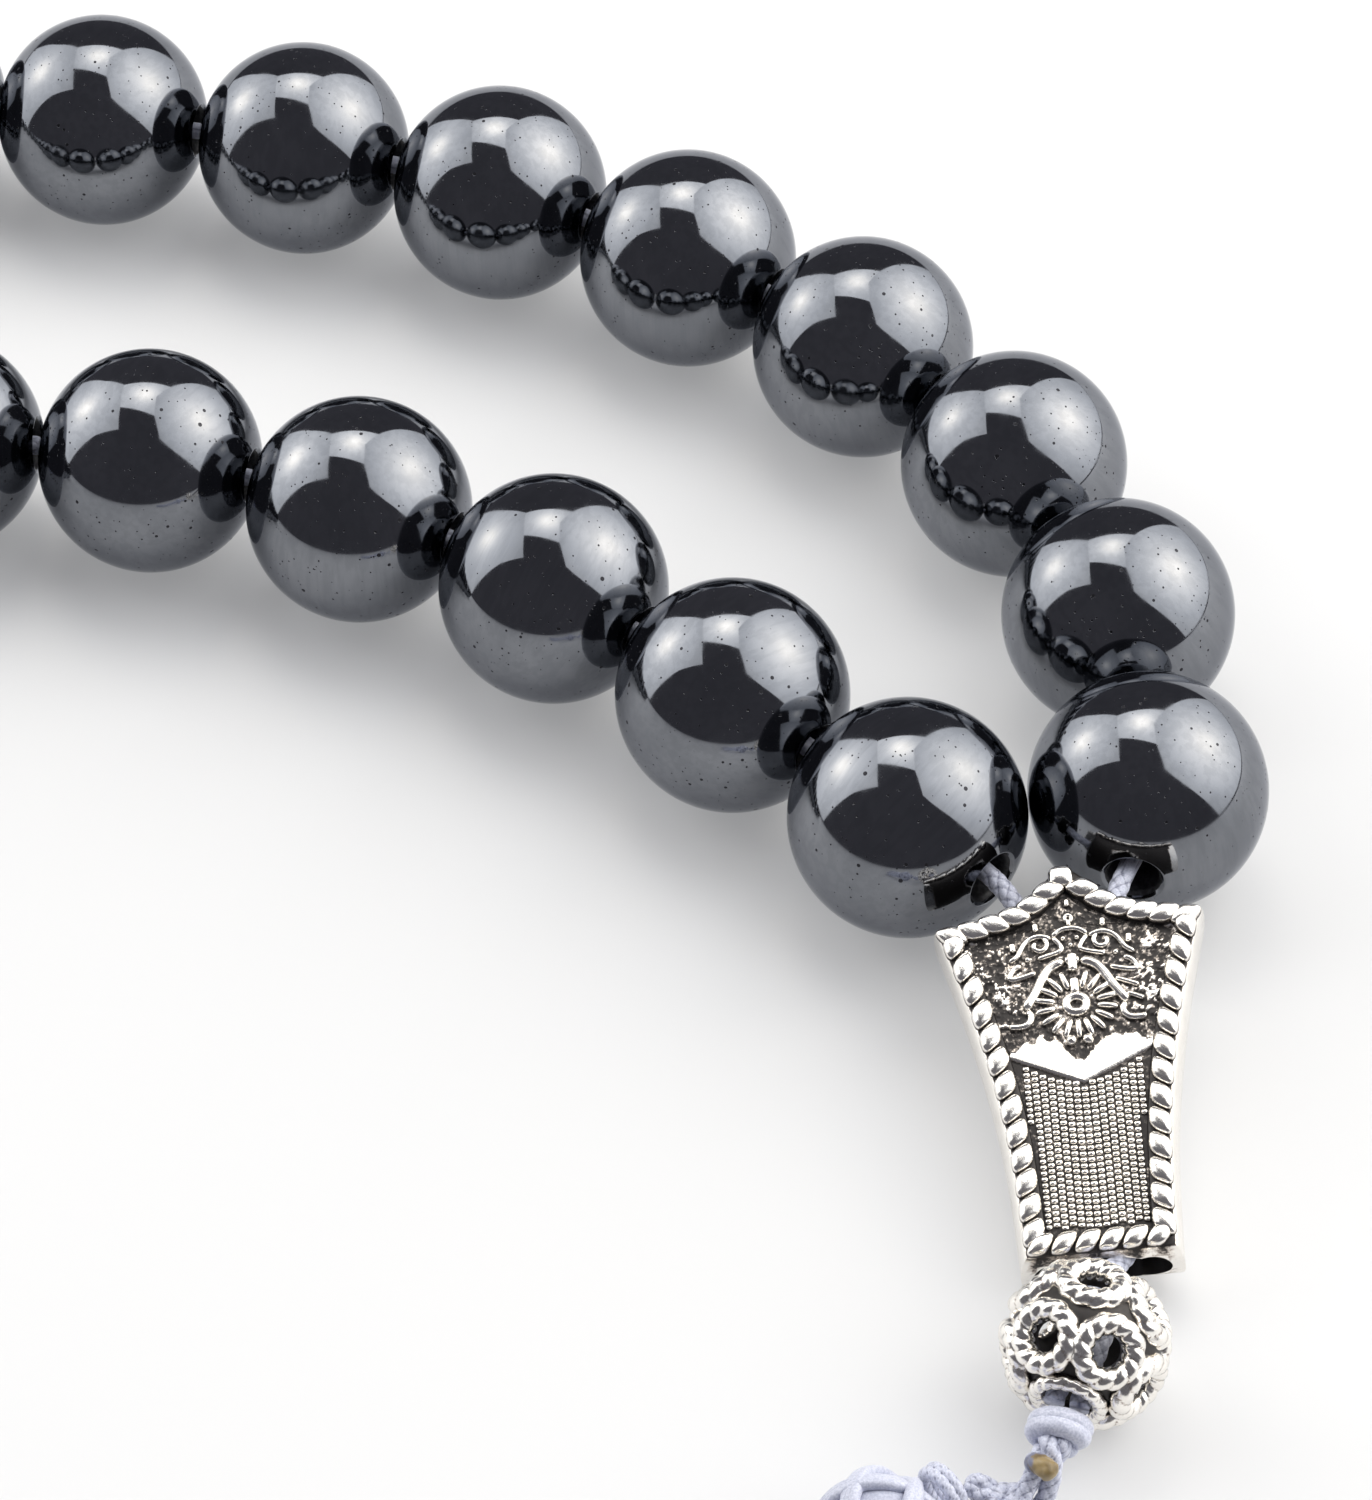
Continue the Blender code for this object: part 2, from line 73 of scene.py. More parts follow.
# the layout's origin in the part's frame, as in part.py, for the routes below
LAYOUT_ORIGIN = Vector((0.06344, 0.01180, 0.0))
BEAD_RADIUS = 6.0 * MM
BORE_RADIUS = 1.25 * MM
BORE_RIM_RADIUS = 1.62 * MM  # where a bead's countersink meets its outside
CORD_RADIUS = 0.5 * MM


# ---- shapes


def turns(count):
    """Angles of count points spaced evenly round a circle."""
    return np.linspace(0, 2 * pi, count, endpoint=False)


def ring_points(turn, x_radius, y_radius, height=0.0):
    """Points round local Z at the given angles."""
    return np.stack([x_radius * np.cos(turn), y_radius * np.sin(turn), 0 * turn + height], axis=1)


def unit(vectors):
    return vectors / np.linalg.norm(vectors, axis=-1, keepdims=True)


def lengths_along(path):
    """The distance run at each point of a path."""
    return np.concatenate([[0.0], np.cumsum(np.linalg.norm(np.diff(path, axis=0), axis=1))])


def picked(path, run, at):
    """The points of a path at some of the distances run along it."""
    return np.stack([np.interp(at, run, column) for column in path.T], axis=-1)


def linked(name, mesh):
    """A new object in the scene."""
    made = bpy.data.objects.new(name, mesh)
    bpy.context.scene.collection.objects.link(made)
    return made


class Shape:
    """Points and faces gathered from several forms, with a patina value for each point: oxide on silver,
    painted shade and singe on thread, and glow on the light panels.
    """

    def __init__(self):
        self.points, self.faces, self.patina = [], [], []
        self.count = 0

    def add(self, points, faces, patina=0.0):
        points = np.asarray(points, float).reshape(-1, 3)
        self.points.append(points)
        self.faces += [np.asarray(group, int) + self.count for group in faces if len(group)]
        self.patina.append(np.broadcast_to(np.asarray(patina, float), (len(points),)))
        self.count += len(points)

    def mesh(self, name, smooth=True):
        mesh = bpy.data.meshes.new(name)
        sizes = np.concatenate([np.full(len(group), group.shape[1]) for group in self.faces])
        corners = np.concatenate([group.ravel() for group in self.faces])
        mesh.vertices.add(self.count)
        mesh.vertices.foreach_set("co", np.concatenate(self.points).astype(np.float32).ravel())
        mesh.loops.add(len(corners))
        mesh.loops.foreach_set("vertex_index", corners.astype(np.int32))
        mesh.polygons.add(len(sizes))
        mesh.polygons.foreach_set("loop_start", (np.cumsum(sizes) - sizes).astype(np.int32))
        mesh.update(calc_edges=True)
        mesh.validate()
        attribute = mesh.attributes.new("patina", "FLOAT", "POINT")
        attribute.data.foreach_set("value", np.concatenate(self.patina).astype(np.float32))
        if smooth:
            mesh.shade_smooth()
        return mesh


def grid_faces(rows, columns, wrap_columns=False, wrap_rows=False):
    """Quads over a rows × columns grid of points, wrapped round where asked."""
    r = np.arange(rows if wrap_rows else rows - 1)[:, None]
    c = np.arange(columns if wrap_columns else columns - 1)[None, :]
    r2, c2 = (r + 1) % rows, (c + 1) % columns
    corners = [r * columns + c, r * columns + c2, r2 * columns + c2, r2 * columns + c]
    return np.stack([np.broadcast_to(x, (len(r), c.shape[1])).ravel() for x in corners], axis=1)


def end_fans(rows, columns):
    """The triangles that close a tube, with the two points that come after those of its grid."""
    i = np.arange(columns)
    j = (i + 1) % columns
    start = np.stack([j, i, np.full(columns, rows * columns)], axis=1)
    end = np.stack([i, j, np.full(columns, 1)], axis=1) + (rows - 1) * columns
    end[:, 2] += columns
    return [start, end]


def with_middles(points, columns):
    """A tube's points, and after them the middle of its first ring and of its last."""
    return np.concatenate([points, [points[:columns].mean(axis=0)], [points[-columns:].mean(axis=0)]])


def frames_along(path, reference):
    """Across and up directions at each point of a path, kept near to a reference direction."""
    tangents = unit(np.gradient(path, axis=0))
    across = unit(np.cross(tangents, np.asarray(reference, float)))
    return across, np.cross(across, tangents)


def swept(shape, path, radii, segments, reference=UP, closed=False, patina=0.0):
    """A tube of one radius, of one for each path point, or of one for each point and segment."""
    path = np.asarray(path, float)
    if closed:
        wrapped = np.concatenate([path[-1:], path, path[:1]])
        across, up = (side[1:-1] for side in frames_along(wrapped, reference))
    else:
        across, up = frames_along(path, reference)
    radii = np.asarray(radii, float)
    if radii.ndim < 2:
        radii = np.broadcast_to(radii.reshape(-1, 1), (len(path), 1))
    turn = turns(segments)[:, None]
    ring = across[:, None] * np.cos(turn) + up[:, None] * np.sin(turn)
    points = (path[:, None] + ring * radii[..., None]).reshape(-1, 3)
    faces = [grid_faces(len(path), segments, wrap_columns=True, wrap_rows=closed)]
    patina = np.asarray(patina, float).reshape(-1, 1) if np.ndim(patina) < 2 else patina
    patina = np.broadcast_to(patina, (len(path), segments)).ravel()
    if not closed:
        points = with_middles(points, segments)
        faces += end_fans(len(path), segments)
        patina = np.append(patina, patina[[0, -1]])
    shape.add(points, [group[:, ::-1] for group in faces], patina)


def rounded_ends(count, share):
    """A radius factor for each of count points that rounds off both ends of a tube."""
    t = np.linspace(0, 1, count)
    inward = np.clip(np.minimum(t, 1 - t) / share, 0, 1)
    return np.sqrt(1 - (1 - inward) ** 2) * 0.97 + 0.03


def pillow(shape, centre, along, across, up, half_sizes, squareness, rings, segments, patina, shear=0.0):
    """A closed rounded block, its centre and half sizes in millimetres. Shear slants its ends.

    A squareness of 1 is an ellipsoid. Patina is one value, or the values low down and on top.
    """
    centre, half_sizes = np.array(centre, float) * MM, np.array(half_sizes) * MM
    lat = np.linspace(-pi / 2, pi / 2, rings + 1)[1:-1]
    lon = turns(segments)

    def eased(x):
        return np.sign(x) * np.abs(x) ** squareness

    a = eased(np.cos(lat))[:, None] * eased(np.cos(lon))[None]
    b = eased(np.cos(lat))[:, None] * eased(np.sin(lon))[None]
    c = np.broadcast_to(eased(np.sin(lat))[:, None], a.shape)
    axes = np.array((along, across, up), float) * half_sizes[:, None]
    offsets = (a + shear * b)[..., None] * axes[0] + b[..., None] * axes[1] + c[..., None] * axes[2]
    points = np.concatenate([offsets.reshape(-1, 3), -axes[2:], axes[2:]]) + centre
    if np.ndim(patina):
        share = np.concatenate([(c.ravel() + 1) / 2, [0.0, 1.0]])
        patina = patina[0] + (patina[1] - patina[0]) * share
    faces = [grid_faces(rings - 1, segments, wrap_columns=True)]
    shape.add(points, faces + end_fans(rings - 1, segments), patina)


def spokes(angle):
    """The directions out from local Z and round it, at one angle."""
    return np.array((cos(angle), sin(angle), 0.0)), np.array((-sin(angle), cos(angle), 0.0))


def turned(shape, profile, segments, closed=True, patina=0.0):
    """A (radius, height) profile turned about local Z, with one patina value or one for each point."""
    turn = turns(segments)
    radius, height = np.asarray(profile, float).T[..., None]
    points = np.stack([radius * np.cos(turn), radius * np.sin(turn), height + 0 * turn], axis=-1)
    values = np.repeat(patina, segments) if np.ndim(patina) else patina
    shape.add(points, [grid_faces(len(profile), segments, wrap_columns=True, wrap_rows=closed)], values)


def arc(centre, radius, start, end, count):
    """(radius, height) points round an arc, its angles in degrees from straight out."""
    turn = np.radians(np.linspace(start, end, count))
    return [(centre[0] + radius * cos(a), centre[1] + radius * sin(a)) for a in turn]


def spline_through(points, count):
    """Evenly spaced points on the natural cubic spline through a list of points."""
    points = np.array(points, float)
    knots = lengths_along(points)
    at = np.linspace(0.0, knots[-1], count)
    steps = np.diff(knots)
    slopes = np.diff(points, axis=0) / steps[:, None]
    system = np.eye(len(points))
    right = np.zeros_like(points)
    for i in range(1, len(points) - 1):
        system[i, i - 1 : i + 2] = steps[i - 1], 2 * (steps[i - 1] + steps[i]), steps[i]
        right[i] = 6 * (slopes[i] - slopes[i - 1])
    bend = np.linalg.solve(system, right)
    i = np.clip(np.searchsorted(knots, at, side="right") - 1, 0, len(steps) - 1)
    step = steps[i][:, None]
    after = (at - knots[i])[:, None]
    before = step - after
    curved = bend[i] * before**3 + bend[i + 1] * after**3
    straight = (points[i] / step - bend[i] * step / 6) * before
    straight += (points[i + 1] / step - bend[i + 1] * step / 6) * after
    return curved / (6 * step) + straight


def value_noise(x, y, size, seed):
    """Smooth noise from 0 to 1 over a plane, its grains about size across."""
    lattice = np.random.default_rng(seed).random((128, 128))
    u, v = np.asarray(x) / size, np.asarray(y) / size
    i, j = np.floor(u).astype(int), np.floor(v).astype(int)
    fu, fv = u - i, v - j
    fu, fv = fu * fu * (3 - 2 * fu), fv * fv * (3 - 2 * fv)
    rows = [lattice[(i + a) % 128, (j + b) % 128] for a in (0, 1) for b in (0, 1)]
    return (rows[0] * (1 - fv) + rows[1] * fv) * (1 - fu) + (rows[2] * (1 - fv) + rows[3] * fv) * fu


def frame_matrix(centre, x, y, z):
    """The local frame at a centre with these three directions."""
    made = Matrix((x, y, z)).transposed().to_4x4()
    made.translation = Vector(centre)
    return made


def axis_matrix(centre, axis, down=(0.0, 0.0, -1.0)):
    """Local Z along the axis, and local X as near to straight down as that allows, as in part.py."""
    z = Vector(axis).normalized()
    y = z.cross(Vector(down)).normalized()
    return frame_matrix(centre, y.cross(z), y, z)


def moved(matrix, points):
    """Points taken from a local frame to the part's frame."""
    matrix = np.array(matrix)
    return np.asarray(points, float) @ matrix[:3, :3].T + matrix[:3, 3]


def middle_of(node):
    low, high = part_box(node)
    return (low + high) / 2


def add_piece(name, mesh, surface, body, matrix, replaces=()):
    """One finished piece: its mesh, its material, the body it rides on and the nodes it stands for."""
    obj = linked(name, mesh)
    if not mesh.materials:
        mesh.materials.append(surface)
    if matrix:
        obj.matrix_world = matrix
    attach(obj, body)
    if replaces:
        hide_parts(*replaces)
    return obj


# ---- materials


class Nodes:
    """Short calls for building one material's node tree."""

    def __init__(self, name):
        self.material = bpy.data.materials.new(name)
        self.material.use_nodes = True
        self.tree = self.material.node_tree
        self.shader = self.tree.nodes["Principled BSDF"]

    def node(self, kind, inputs=None, **settings):
        made = self.tree.nodes.new(kind)
        for key, value in settings.items():
            setattr(made, key, value)
        for socket, value in (inputs or {}).items():
            self.link(value, made.inputs[socket])
        return made

    def link(self, value, socket):
        if isinstance(value, bpy.types.NodeSocket):
            self.tree.links.new(value, socket)
        elif value is not None:
            socket.default_value = value

    def set(self, socket, value):
        self.link(value, self.shader.inputs[socket])

    @cached_property
    def where(self):
        return self.node("ShaderNodeTexCoord").outputs["Object"]

    def patina(self):
        return self.node("ShaderNodeAttribute", attribute_name="patina").outputs["Fac"]

    def math(self, operation, a, b):
        return self.node("ShaderNodeMath", {0: a, 1: b}, operation=operation).outputs[0]

    def noise(self, scale, detail, roughness=0.55, stretch=None):
        where = self.where
        if stretch is not None:
            where = self.node("ShaderNodeMapping", {"Vector": where, "Scale": stretch}).outputs[0]
        inputs = {"Vector": where, "Scale": scale, "Detail": detail, "Roughness": roughness}
        return self.node("ShaderNodeTexNoise", inputs).outputs["Fac"]

    def cells(self, scale):
        made = self.node("ShaderNodeTexVoronoi", {"Vector": self.where, "Scale": scale})
        return made.outputs["Distance"], made.outputs["Color"]

    def ramp(self, value, low, high, to_low=0.0, to_high=1.0):
        inputs = {"Value": value, "From Min": low, "From Max": high, "To Min": to_low, "To Max": to_high}
        return self.node("ShaderNodeMapRange", inputs, interpolation_type="SMOOTHSTEP").outputs["Result"]

    def mix(self, factor, a, b):
        made = self.node("ShaderNodeMix", data_type="RGBA")
        self.link(factor, made.inputs["Factor"])
        for value, socket in ((a, made.inputs["A"]), (b, made.inputs["B"])):
            self.link((*value, 1.0) if isinstance(value, tuple) else value, socket)
        return made.outputs["Result"]

    def bump(self, height, distance, strength):
        inputs = {"Strength": strength, "Distance": distance, "Height": height}
        return self.node("ShaderNodeBump", inputs).outputs["Normal"]


def hematite_material():
    """Polished near-black metallic stone with fine dark pits and the faintest cloudiness."""
    n = Nodes("hematite")
    cloud = n.noise(260, detail=4)
    far, tint = n.cells(1500)
    size = n.ramp(tint, 0.42, 0.92, 0.0, 0.17)
    pits = n.math("LESS_THAN", far, size)
    near, grain = n.cells(3600)
    speckle_size = n.ramp(grain, 0.45, 0.95, 0.0, 0.22)
    speckles = n.math("LESS_THAN", near, speckle_size)
    marks = n.math("MAXIMUM", pits, speckles)
    scratch = n.noise(2600, detail=3, stretch=(1.0, 0.05, 1.0))
    stone = n.mix(n.ramp(cloud, 0.3, 0.7), (0.172, 0.180, 0.198), (0.205, 0.213, 0.232))
    stone = n.mix(n.ramp(scratch, 0.40, 0.62, 0.0, 0.30), stone, (0.130, 0.137, 0.152))
    n.set("Base Color", n.mix(marks, stone, (0.035, 0.035, 0.04)))
    n.set("Metallic", 1.0)
    n.set("Specular Tint", (0.78, 0.79, 0.82, 1.0))
    haze = n.noise(900, detail=2)
    n.set("Roughness", n.math("ADD", n.ramp(haze, 0.3, 0.75, 0.045, 0.105), n.math("MULTIPLY", marks, 0.35)))
    crevice_shade = n.math("SUBTRACT", n.math("MULTIPLY", haze, 0.03), marks)
    n.set("Normal", n.bump(crevice_shade, 0.00002, strength=0.5))
    return n.material


def bore_material():
    """The unpolished stone inside a drilled hole."""
    n = Nodes("drilled_stone")
    grain = n.noise(5200, detail=5)
    n.set("Base Color", n.mix(n.ramp(grain, 0.35, 0.7), (0.012, 0.012, 0.014), (0.05, 0.05, 0.055)))
    n.set("Metallic", 0.3)
    n.set("Roughness", n.ramp(grain, 0.3, 0.7, 0.35, 0.6))
    n.set("Normal", n.bump(grain, 0.00003, strength=0.6))
    return n.material


def silver_material():
    """Cast silver: bright where it is rubbed, and black with oxide where the patina value is high."""
    n = Nodes("antiqued_silver")
    patina = n.patina()
    fine = n.noise(5200, detail=6, roughness=0.7)
    broad = n.noise(900, detail=3)
    uneven = n.math("MULTIPLY", n.math("SUBTRACT", fine, 0.5), 1.5)
    uneven = n.math("ADD", uneven, n.math("MULTIPLY", n.math("SUBTRACT", broad, 0.5), 0.7))
    amount = n.math("ADD", patina, n.math("MULTIPLY", uneven, n.ramp(patina, 0.02, 0.5, 0.10, 0.75)))
    oxide = n.ramp(amount, 0.30, 0.62)
    bright = n.mix(n.ramp(broad, 0.35, 0.7), (0.97, 0.94, 0.89), (0.91, 0.875, 0.82))
    tarnished = n.mix(n.ramp(amount, 0.16, 0.46), bright, (0.60, 0.53, 0.47))
    n.set("Base Color", n.mix(oxide, tarnished, (0.034, 0.030, 0.029)))
    n.set("Metallic", n.ramp(oxide, 0.0, 1.0, 1.0, 0.55))
    n.set("Roughness", n.math("ADD", n.ramp(fine, 0.3, 0.8, 0.15, 0.28), n.math("MULTIPLY", oxide, 0.22)))
    relief = n.math("ADD", n.math("MULTIPLY", fine, 0.6), n.math("MULTIPLY", broad, 0.6))
    n.set("Normal", n.bump(relief, 0.00003, strength=0.45))
    return n.material


def thread_material():
    """Spun thread: pale strands with painted shade between them, as strong as the patina value up to 1, and
    singed brown where the patina value passes 1.
    """
    n = Nodes("grey_lilac_thread")
    patina = n.patina()
    fibre = n.noise(9000, detail=3)
    patch = n.noise(700, detail=2)
    colour = n.mix(n.ramp(fibre, 0.35, 0.65), (0.50, 0.525, 0.65), (0.68, 0.70, 0.82))
    # painted shade: the strands darken towards the crevice colour as the patina value rises to 1
    colour = n.mix(n.ramp(patina, 0.25, 0.95), colour, (0.17, 0.18, 0.26))
    ragged = n.math("ADD", patina, n.math("MULTIPLY", n.math("SUBTRACT", patch, 0.5), 0.6))
    burnt = n.mix(n.ramp(patch, 0.35, 0.65), (0.10, 0.065, 0.025), (0.34, 0.25, 0.11))
    colour = n.mix(n.ramp(ragged, 1.15, 1.6), colour, burnt)
    n.set("Base Color", colour)
    n.set("Roughness", n.ramp(fibre, 0.3, 0.7, 0.30, 0.46))
    n.set("Sheen Weight", 0.35)
    n.set("Sheen Roughness", 0.4)
    n.set("Normal", n.bump(fibre, 0.00003, strength=0.4))
    return n.material


TABLE_GLOW = 0.26  # light that comes up through the table, which keeps the shadows pale


def table_material():
    """The plain white table top."""
    n = Nodes("white_table")
    cloud = n.noise(12, detail=3)
    n.set("Base Color", n.mix(cloud, (0.530, 0.532, 0.540), (0.550, 0.551, 0.556)))
    n.set("Emission Color", (0.985, 0.99, 1.0, 1.0))
    n.set("Emission Strength", TABLE_GLOW)
    n.set("Roughness", 0.55)
    n.set("Specular IOR Level", 0.25)
    return n.material


# ---- camera, light tent and table


def add_camera():
    """A 113.5 mm lens on a 36 mm long side, 48 degrees above the table and turned a little clockwise."""
    height, roll = radians(48.438), radians(3.285)
    right = Vector((cos(roll), -sin(roll) * sin(height), -sin(roll) * cos(height)))
    forward = Vector((0.0, cos(height), -sin(height)))
    camera = linked("camera", bpy.data.cameras.new("camera"))
    place = LAYOUT_ORIGIN + Vector((0.0, -0.15801, 0.18421))
    camera.matrix_world = frame_matrix(place, right, forward.cross(right) * -1, -forward)
    camera.data.lens = 113.5
    camera.data.sensor_width = 36.0
    camera.data.clip_start = 0.01
    bpy.context.scene.camera = camera


# each light panel: its two sides as (azimuth, elevation) from low to high in degrees, its brightest spot,
# and the rise and spread of its broad glow and of its spot; azimuth 0 is towards the camera, 90 to the right
PANELS = {
    "light_left": (
        ((-146, 1), (-148, 24), (-155, 43), (-125, 61)),
        ((-90, 1), (-89, 20), (-88, 40), (-77, 62)),
        (-122, 27),
        (1.65, 32, 2.5, 9),
    ),
    "light_right": (
        ((147, 0), (153, 28), (158, 45), (165, 63), (120, 82)),
        ((61, 1), (52, 28), (44, 46), (38, 57), (33, 66)),
        (107, 37),
        (2.8, 36, 1.2, 10),
    ),
    "light_back": (
        ((158, 45), (165, 63), (120, 82)),
        ((205, 43), (222, 53), (235, 61)),
        (185, 61),
        (1.65, 32, 2.5, 9),
    ),
}
PANEL_DISTANCE = 0.65
PANEL_GLOW = 1.14
PANEL_GRID = 25  # points along each of its sides
TENT_CENTRE = LAYOUT_ORIGIN + Vector((0.0108, -0.0052, 0.006))
BACKDROP_RADIUS = 1.15
TABLE_HALF_SIDE = 1.2


def direction(azimuth, elevation):
    azimuth, elevation = np.radians(azimuth), np.radians(elevation)
    flat = np.cos(elevation)
    return np.stack([np.sin(azimuth) * flat, -np.cos(azimuth) * flat, np.sin(elevation)], axis=-1)


def glow_material(name):
    """Light as strong as the patina value, and warmer where it is strongest."""
    n = Nodes(name)
    n.tree.nodes.remove(n.shader)
    glow = n.patina()
    warmth = n.node("ShaderNodeValToRGB")
    cool, warm = warmth.color_ramp.elements
    cool.position, cool.color = 0.30, (0.98, 0.99, 1.0, 1.0)
    warm.position, warm.color = 0.70, (1.0, 0.95, 0.86, 1.0)
    n.link(n.math("MULTIPLY", glow, 0.15), warmth.inputs["Fac"])
    emission = n.node("ShaderNodeEmission", {"Color": warmth.outputs["Color"], "Strength": glow})
    n.link(emission.outputs[0], n.tree.nodes["Material Output"].inputs["Surface"])
    return n.material


def staged(name, shape, surface):
    """An object of the setting, which isn't part of the beads."""
    made = linked(name, shape.mesh(name, smooth=False))
    made.data.materials.append(surface)
    return made


def side_directions(side, count):
    """Evenly spaced directions along a panel's side."""
    corners = direction(*np.array(side, float).T)
    return picked(corners, np.arange(len(corners)), np.linspace(0, len(corners) - 1, count))


def add_light_tent():
    """Three soft panels round and over the table, as the beads mirror them."""
    surface = glow_material("panel_glow")
    for name, (far, near, spot, (rise, spread, spot_rise, spot_spread)) in PANELS.items():
        first, last = side_directions(far, PANEL_GRID), side_directions(near, PANEL_GRID)
        share = np.linspace(0, 1, PANEL_GRID)[None, :, None]
        towards = unit(first[:, None] * (1 - share) + last[:, None] * share)
        off = np.degrees(np.arccos(np.clip(towards @ direction(*spot), -1, 1)))
        glow = PANEL_GLOW + rise * np.exp(-((off / spread) ** 2))
        glow += spot_rise * np.exp(-((off / spot_spread) ** 2))
        shape = Shape()
        points = towards * PANEL_DISTANCE + np.array(TENT_CENTRE)
        shape.add(points, [grid_faces(PANEL_GRID, PANEL_GRID)], glow.ravel())
        staged(name, shape, surface).visible_camera = False


def add_table():
    """A square of table top, and a pale backdrop round it that only the camera sees."""
    top = Shape()
    corners = np.array([(-1, -1, 0), (1, -1, 0), (1, 1, 0), (-1, 1, 0)]) * TABLE_HALF_SIDE
    top.add(corners, [np.array([[0, 1, 2, 3]])])
    staged("table_top", top, table_material())
    dome = Shape()
    turned(dome, arc((0, 0), BACKDROP_RADIUS, -12, 88, 21), 48, closed=False, patina=0.93)
    backdrop = staged("backdrop", dome, glow_material("backdrop_glow"))
    for ray in ("diffuse", "glossy", "transmission", "volume_scatter", "shadow"):
        setattr(backdrop, f"visible_{ray}", False)


def add_world():
    """Dim all round, so that the tent does the lighting."""
    world = bpy.data.worlds.new("studio")
    world.use_nodes = True
    bpy.context.scene.world = world
    world.node_tree.nodes["Background"].inputs["Color"].default_value = (0.125, 0.122, 0.138, 1.0)


# ---- beads and dividers


def bead_mesh(stone, drilled):
    """A finely turned ball whose drilled hole opens in a small polished countersink."""
    rim = np.degrees(np.arccos(BORE_RIM_RADIUS / BEAD_RADIUS))
    outer = arc((0, 0), BEAD_RADIUS, -rim, rim, 57)
    mouth = BEAD_RADIUS * sin(radians(rim))
    lip = [(1.58, 0.015), (1.52, -0.03), (1.40, -0.13), (1.30, -0.26), (1.25, -0.40)]
    down = [(r * MM, mouth + z * MM) for r, z in lip]
    bore = [(BORE_RADIUS, z * MM) for z in (4.0, 2.0, 0.0, -2.0, -4.0)]
    up = [(r, -z) for r, z in reversed(down)]
    shape = Shape()
    turned(shape, outer + down + bore + up, 96)
    mesh = shape.mesh("bead")
    mesh.materials.append(stone)
    mesh.materials.append(drilled)
    inside = BORE_RADIUS * 1.13
    for polygon in mesh.polygons:
        x, y, _ = polygon.center
        polygon.material_index = int(x * x + y * y < inside * inside)
    mesh.set_sharp_from_angle(angle=radians(60))
    return mesh


def bead_places():
    """Each bead's and divider's centre and axis, from its joint."""
    places = {}
    for joint in JOINTS.values():
        body = joint["child"]
        if body.startswith(("bead", "divider")):
            places[body] = (joint.get("pos_m") or middle_of(body), joint["axis"])
    return places


def divider_mesh():
    """A crowned silver rondelle with a twisted rim, a ring of grains on each face and a plain bore."""
    shape = Shape()
    rim = arc((2.65 * MM, 0.0), 1.15 * MM, -62, 62, 17)
    face = [(2.75, 1.30), (2.35, 1.25), (2.05, 1.50), (1.85, 1.85), (1.62, 1.98), (1.40, 1.92), (1.28, 1.70)]
    top = [(r * MM, z * MM) for r, z in face]
    bottom = [(r, -z) for r, z in reversed(top)]
    profile = rim + top + [(BORE_RADIUS, 0.6 * MM), (BORE_RADIUS, -0.6 * MM)] + bottom
    dark = np.array([0.2] * len(rim) + [0.95, 0.95, 0.7, 0.2, 0.05, 0.2, 0.9])
    dark = np.concatenate([dark, [1.0, 1.0], dark[len(rim):][::-1]])
    turned(shape, profile, 96, patina=dark)
    for side in (-1, 1):
        for a in turns(18):
            out, around = spokes(a)
            centre = out * 2.62 + (0, 0, side * 1.42)
            pillow(shape, centre, out, around, UP, (0.40, 0.40, 0.40), 1.0, 8, 12, 0.12)
    for a in turns(26):
        out, around = spokes(a)
        pillow(shape, out * 3.98, around, UP, out, (0.42, 1.15, 0.45), 0.85, 10, 16, (0.9, 0.0), shear=1.1)
    return shape.mesh("divider")


def add_threaded(places, silver):
    """The beads, each spun its own way about its bore, and the dividers."""
    bead, divider = bead_mesh(hematite_material(), bore_material()), divider_mesh()
    spin = np.random.default_rng(33)
    for body, (centre, axis) in sorted(places.items()):
        matrix = axis_matrix(centre, axis)
        if body.startswith("bead"):
            matrix = matrix @ Matrix.Rotation(spin.uniform(0, 2 * pi), 4, "Z")
            add_piece(f"hematite_{body}", bead, None, body, matrix, (body,))
        else:
            add_piece(f"silver_{body}", divider, silver, body, matrix, (body,))


# ---- imam

# half widths up the front face, as in part.py, in millimetres like the rest of the imam's local sizes
IMAM_SIDE = (
    (3.55, 0.0), (3.65, 2.5), (3.80, 5.0), (4.15, 8.0),
    (4.65, 10.8), (5.25, 13.4), (5.90, 15.7), (6.40, 17.4),
)
IMAM_ROOF = ((6.40, 17.4), (4.00, 17.9), (2.40, 18.45), (1.20, 19.35), (0.0, 20.4))
IMAM_THICKNESS = 3.5
IMAM_MIDDLE = -IMAM_THICKNESS / 2
MOUNT_HEIGHT = 9.5  # of the record's mount, up the back
IMAM_FIELD = -0.3
CHANNEL_X, CHANNEL_RADIUS = 2.25, 1.0
MOUTH_HALF_WIDTH, MOUTH_SQUASH, MOUTH_DEPTH = 2.75, 0.45, 2.8
ROPE_INSET = 0.55  # from the outline to the middle of the rope border
BRICK_PITCH, BRICK_RISE = 0.385, 0.305  # across the field and up it


def imam_matrix():
    """The imam's own frame: X to its right, Y up it, Z out of its face, and Y 0 at its bottom end."""
    mount = frame["record"]["mounts"][0]
    up = Vector(JOINTS["imam_slide"]["axis"]).normalized()
    out = -Vector(mount["axis"]).normalized()
    corner = Vector(mount["pos_m"]) - up * MOUNT_HEIGHT * MM + out * IMAM_THICKNESS * MM
    return frame_matrix(corner, up.cross(out), up, out)


def offset(points, distance):
    """An open line of (x, y) points moved to its right by a distance."""
    points = np.asarray(points, float)
    heading = unit(np.gradient(points, axis=0))
    return points + heading[:, ::-1] * (1, -1) * distance


